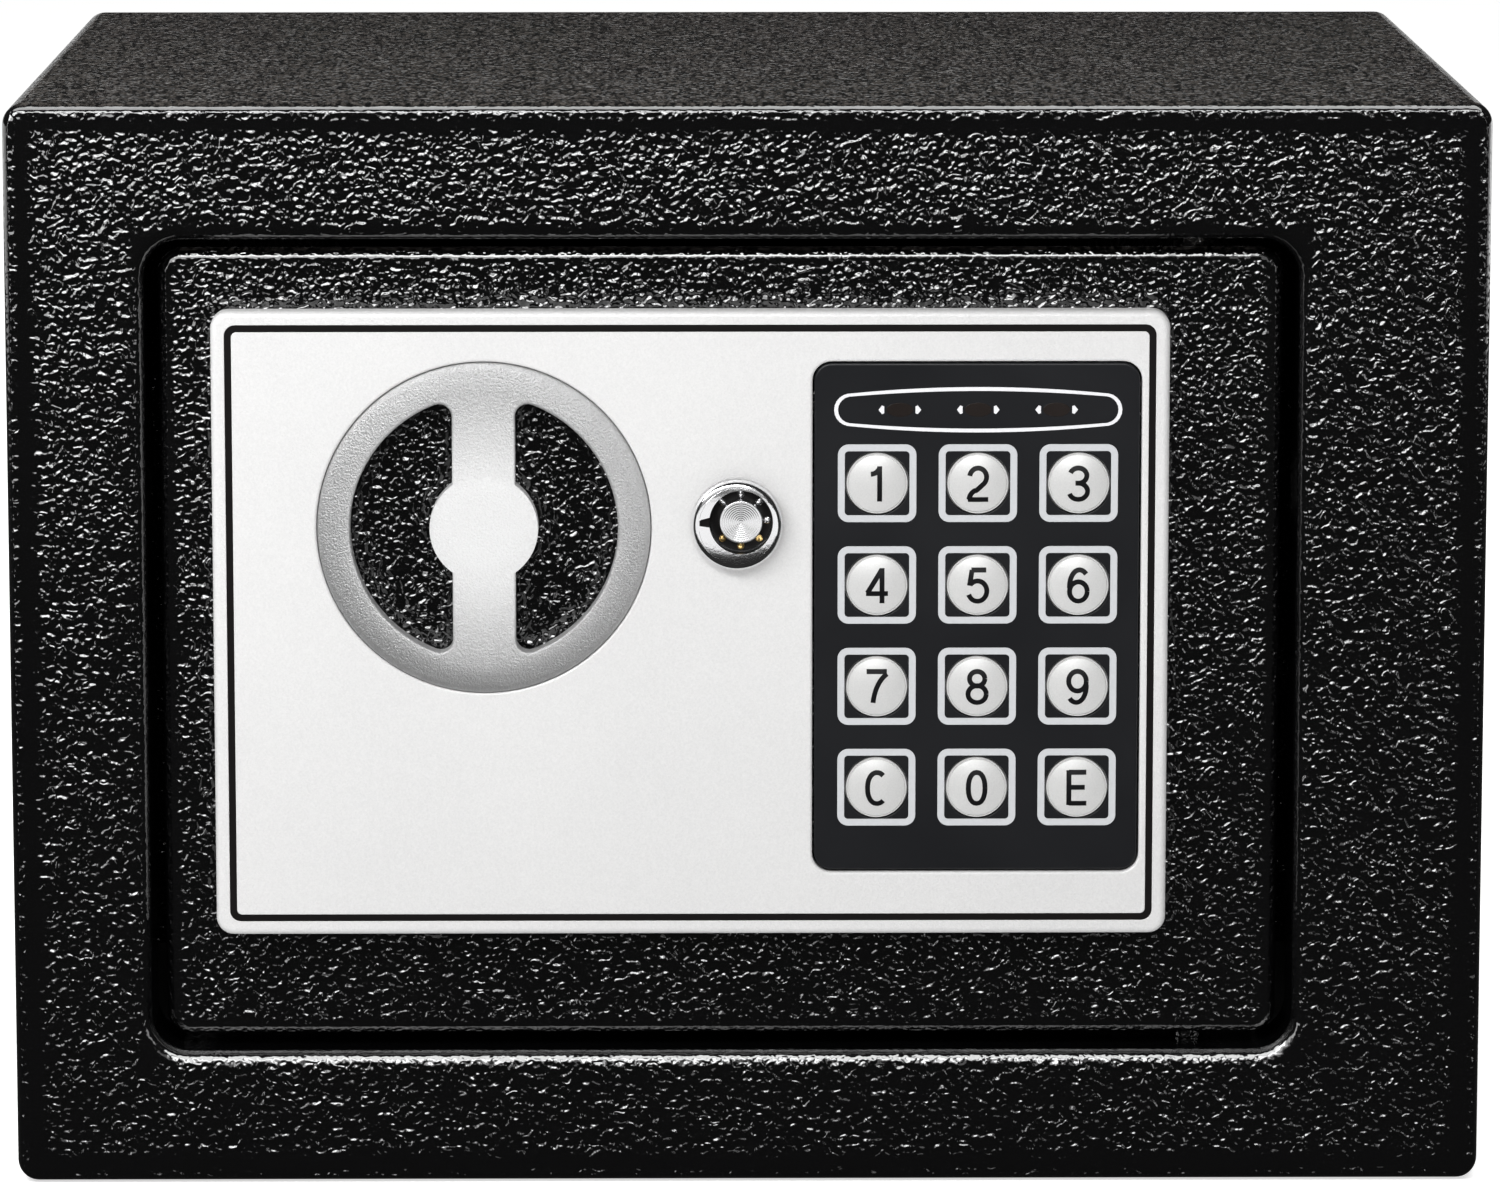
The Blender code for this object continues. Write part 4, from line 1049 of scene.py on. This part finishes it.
def legend(mark):
    """The centre lines of a key's character, about 3.6 wide and 5.7 high."""
    top = 2.54
    shapes = {
        "0": [bow(0, 0, 1.42, top, 0, 360, 0.9)],
        "1": [line((0.4, -2.85), (0.4, 2.85)), bow(-1.15, 2.85, 1.55, 1.25, -5, -88)],
        "2": [
            np.concatenate([
                bow(0, 1.1, 1.42, 1.44, 172, -28),
                line((1.02, 0.1), (-0.35, -1.1)),
                bow(0.35, -2.6, 1.85, 1.75, 115, 178),
            ]),
            line((-1.72, -top), (1.72, -top)),
        ],
        "3": [
            bow(-0.1, 1.33, 1.42, 1.21, 160, -84),
            bow(-0.1, -1.21, 1.56, 1.33, 84, -162),
            line((-0.6, 0.12), (0.1, 0.12)),
        ],
        "4": [
            line((0.85, -2.85), (0.85, 2.85)),
            line((0.85, 2.7), (-1.62, -1.15)),
            line((-1.85, -1.25), (1.85, -1.25)),
        ],
        "5": [
            line((-1.05, top), (1.45, top)),
            line((-0.95, top), (-1.38, 0.02)),
            bow(-0.02, -0.87, 1.58, 1.67, 142, -160),
        ],
        "6": [bow(0.02, -0.95, 1.5, 1.59, 0, 360), bow(0.2, -0.1, 1.68, 2.64, 48, 186)],
        "7": [line((-1.72, top), (1.72, top)), bow(3.2, -3.4, 3.85, 6.0, 112, 172)],
        "8": [bow(0, 1.37, 1.3, 1.17, 0, 360), bow(0, -1.14, 1.55, 1.4, 0, 360)],
        "9": [bow(-0.02, 0.95, 1.5, 1.59, 0, 360), bow(-0.2, 0.1, 1.68, 2.64, 228, 366)],
        "C": [bow(0.1, 0, 1.62, top, 52, 308, 0.92)],
        "E": [
            line((-1.35, -2.85), (-1.35, 2.85)),
            line((-1.35, top), (1.6, top)),
            line((-1.35, 0.12), (1.35, 0.12)),
            line((-1.35, -top), (1.65, -top)),
        ],
    }
    return shapes[mark]


# ---------------- behind the door


def inner_cover():
    """The cover plate with its window, and its holes for the reset button and screws."""
    left, right, front, back, low, high = span("inner_cover")
    holes = [rounded(grown(face_box("battery_tray"), -2.0), 2.0)]
    holes.append(circle(*middle("reset_button"), 3.4, 40))
    holes += [circle(*middle(f"cover_screw_{index}"), 1.8, 24) for index in (1, 2, 3, 4)]
    cover = plate(rounded((left, right, low, high), 3.0), holes, front, back, 0.1, 0.35)
    make_piece("cover_plate", *cover, "door", INNER_PAINT, ["inner_cover"], "inner_paint")


def cover_screws():
    """Pan heads, depth = f + h sqrt(1 - 0.98 (r / R)^2), with a black cross on top: painted shade of the
    cross recess.
    """
    height, shank, arm = 1.3, 1.4, 1.5
    for index in (1, 2, 3, 4):
        node = f"cover_screw_{index}"
        front, back = span(node)[2:4]
        radius = half_width(node)
        r = np.linspace(radius, 0.9, 14)
        dome = back - height + height * np.sqrt(1 - (r / radius) ** 2 * 0.98)
        seat = back - 1.4
        foot = [(0, front), (shank, front), (shank, seat), (radius, seat)]
        dimple = [(0.35, back - 1.1), (0, back - 1.2)]
        profile = np.concatenate([foot, np.stack([r, dome], 1), dimple])
        head = turned(profile, middle(node), 48)
        make_piece(node + "_head", *head, "door", ZINC, [node], "zinc_steel")
        # Painted shade: a black cross stands in for the shadow inside the screw's cross recess.
        cross = []
        for tip in ((arm, 0), (0, arm)):
            path = line((-tip[0], -tip[1]), tip) + middle(node)
            cross.append(ribbon(path, 0.5, lambda px, pz: back - 0.02 + 0 * px, -0.3))
        make_piece(node + "_cross_shade", *joined_parts(*cross), "door", SHADE_AND_LINE_BLACK)


def battery_lid():
    """The sliding cover: a rounded plate with a row of thumb ribs."""
    left, right, front, back, low, high = span("battery_cover")
    parts = [plate(rounded((left, right, low, high), 3.0), [], front, back - 0.5, 0.1, 0.5)]
    centre = (low + high) / 2
    half_width, half_length, pitch = 0.6, 11, 2.2
    for index in range(7):
        x = left + 8 + pitch * index
        box = (x - half_width, x + half_width, centre - half_length, centre + half_length)
        parts.append(plate(rounded(box, 0.55), [], back - 1.0, back, 0.05, 0.4))
    lid = joined_parts(*parts)
    make_piece("battery_lid", *lid, "battery_door", BLACK_PLASTIC, ["battery_cover"], "black_plastic")


def round_parts():
    """The bolts and the reset button, turned with soft edges."""
    nose_round, shank = 1.4, 3.0
    for node in ("lower_bolt", "upper_bolt"):
        left, right, front, back, low, high = span(node)
        radius = (high - low) / 2
        turn = np.linspace(0, np.pi / 2, 8)
        nose_radii = radius - nose_round + nose_round * np.sin(turn)
        nose = np.stack([nose_radii, left + nose_round * (1 - np.cos(turn))], 1)
        shoulder = right - 3.3
        tail = [(radius, shoulder), (shank, shoulder), (shank, right), (0, right)]
        centre = ((front + back) / 2, (low + high) / 2)
        bar = turned(np.concatenate([[(0, left)], nose, tail]), centre, 64, "x")
        make_piece(node + "_bar", *bar, "bolt_set", CHROME, [node], "chrome")
    _, _, front, back, _, _ = span("reset_button")
    rim = 2.9
    r = np.linspace(rim, 0, 10)
    face = np.stack([r, back - 0.35 * (r / rim) ** 2], 1)
    profile = np.concatenate([[(0, front), (3.0, front), (3.0, back - 0.6)], face])
    cap = turned(profile, middle("reset_button"), 48)
    make_piece("reset_cap", *cap, "reset_cap", RED_PLASTIC, ["reset_button"], "reset_red")


# ---------------- studio


def area_light(name, place, target, size, power):
    """A white rectangular soft box that faces its target, unseen by the camera."""
    lamp = bpy.data.lights.new(name, "AREA")
    lamp.shape = "RECTANGLE"
    lamp.size, lamp.size_y = size
    lamp.energy = power
    light = put_in_scene(name, lamp)
    light.visible_camera = False
    light.location = place
    light.rotation_euler = (Vector(target) - Vector(place)).to_track_quat("-Z", "Y").to_euler()
    return light


def pale_floor():
    """A wide pale floor that glows a little, and that the pieces don't mirror."""
    sheet = bpy.data.meshes.new("floor")
    sheet.from_pydata([(-9, -9, 0), (9, -9, 0), (9, 9, 0), (-9, 9, 0)], [], [(0, 1, 2, 3)])
    pale = Finish("pale_floor", (0.92, 0.92, 0.92), 0.9)
    pale.set("Roughness", 0.85 + pale.noise(200, 2.0) * 0.1)
    pale.set("Emission Color", (1, 1, 1, 1))
    pale.set("Emission Strength", 0.62)
    sheet.materials.append(pale.material)
    ground = put_in_scene("floor", sheet)
    ground.visible_glossy = False


def for_rays(tree, rays, kind, value, otherwise):
    """A value for one kind of light ray, and another for all the rest."""
    choice = tree.nodes.new("ShaderNodeMapRange")
    tree.links.new(rays.outputs[kind], choice.inputs[0])
    choice.inputs[3].default_value = otherwise
    choice.inputs[4].default_value = value
    return choice.outputs[0]


def pale_world():
    """A pale world, at full strength for the camera and faint in what mirrors it."""
    world = bpy.data.worlds.new("studio")
    bpy.context.scene.world = world
    world.use_nodes = True
    tree = world.node_tree
    glow = tree.nodes["Background"]
    glow.inputs["Color"].default_value = (1, 0.995, 0.985, 1)
    rays = tree.nodes.new("ShaderNodeLightPath")
    strength = tree.nodes.new("ShaderNodeMath")
    strength.operation = "MULTIPLY"
    tree.links.new(for_rays(tree, rays, "Is Camera Ray", 1.0, 0.42), strength.inputs[0])
    tree.links.new(for_rays(tree, rays, "Is Glossy Ray", 0.06, 1.0), strength.inputs[1])
    tree.links.new(strength.outputs[0], glow.inputs["Strength"])


def lights():
    """Soft boxes: name, place, target, size and power, all in metres and watts. Three
    reach everything, and the others only the finishes named with them."""
    centre = (0, FRONT * MM, 0.085)
    area_light("key_strip", (-0.2, -0.47, 0.47), centre, (0.8, 0.16), 3.3)
    area_light("front_box", (-0.3, -1.7, 0.75), centre, (2.2, 0.5), 2.2)
    area_light("back_box", (0.0, 0.53, 1.2), centre, (1.6, 0.73), 10)
    paints = (PAINT, DOOR_PAINT)
    for side in (-1, 1):
        lit_only(area_light("side_card", (side * 1.0, 0.55, 0.085), centre, (1.2, 0.15), 0.5), *paints)
    lit_only(area_light("paint_key", (-0.2, -0.42, 0.33), centre, (0.5, 0.2), 0.9), *paints)
    lit_only(area_light("lip_strip", (-0.1, -0.55, 0.97), centre, (1.6, 0.35), 12), *paints)
    for side, power in ((-1, 1.4), (1, 0.8)):
        lit_only(area_light("wing", (side * 0.9, -0.9, 0.3), centre, (0.3, 0.5), power), *paints)
    card = area_light("rear_card", (0.2, 1.1, 0.085), centre, (2.2, 0.15), 0.8)
    lit_only(card, PAINT, INNER_PAINT)
    card = area_light("metal_card", (-0.1, -1.0, -0.01), (0, FRONT * MM, 0.1), (2.2, 0.5), 3.2)
    lit_only(card, CHROME, SPUN, BRASS)
    card = area_light("panel_glow", (-0.28, -0.28, 0.3), (-0.04, FRONT * MM, 0.1), (0.15, 0.1), 0.4)
    lit_only(card, SILVER)
    card = area_light("knob_card", (0.62, -0.8, 0.16), (KNOB[0] * MM, FRONT * MM, 0.1), (0.25, 0.4), 2.4)
    lit_only(card, KNOB_SILVER)


def lit_only(light, *finishes):
    """Lets a light reach only the pieces of some finishes."""
    group = bpy.data.collections.new(light.name + "_lit")
    for piece in bpy.context.scene.objects:
        if piece.type == "MESH" and piece.data.materials and piece.data.materials[0] in finishes:
            group.objects.link(piece)
    light.light_linking.receiver_collection = group


def camera():
    """A long lens a little left of the safe and above it."""
    lens = bpy.data.cameras.new("camera")
    lens.lens = 180.6
    lens.sensor_width = 36
    distance = 1154.0
    place = Vector((-9.6, FRONT - distance, 281.0)) * MM
    target = Vector((0.3, FRONT, 93.3)) * MM
    eye = put_in_scene("camera", lens)
    eye.location = place
    eye.rotation_euler = (target - place).to_track_quat("-Z", "Y").to_euler()
    bpy.context.scene.camera = eye


finish_frame()
case_skin()
floor_felt()
door_skin()
face_panel()
knob_wheel()
lock_flange()
lock_core()
keypad()
for key in KEY_LEGENDS:
    key_cap(key)
inner_cover()
cover_screws()
battery_lid()
round_parts()
pale_floor()
pale_world()
lights()
camera()
bpy.context.scene.view_settings.view_transform = "Standard"
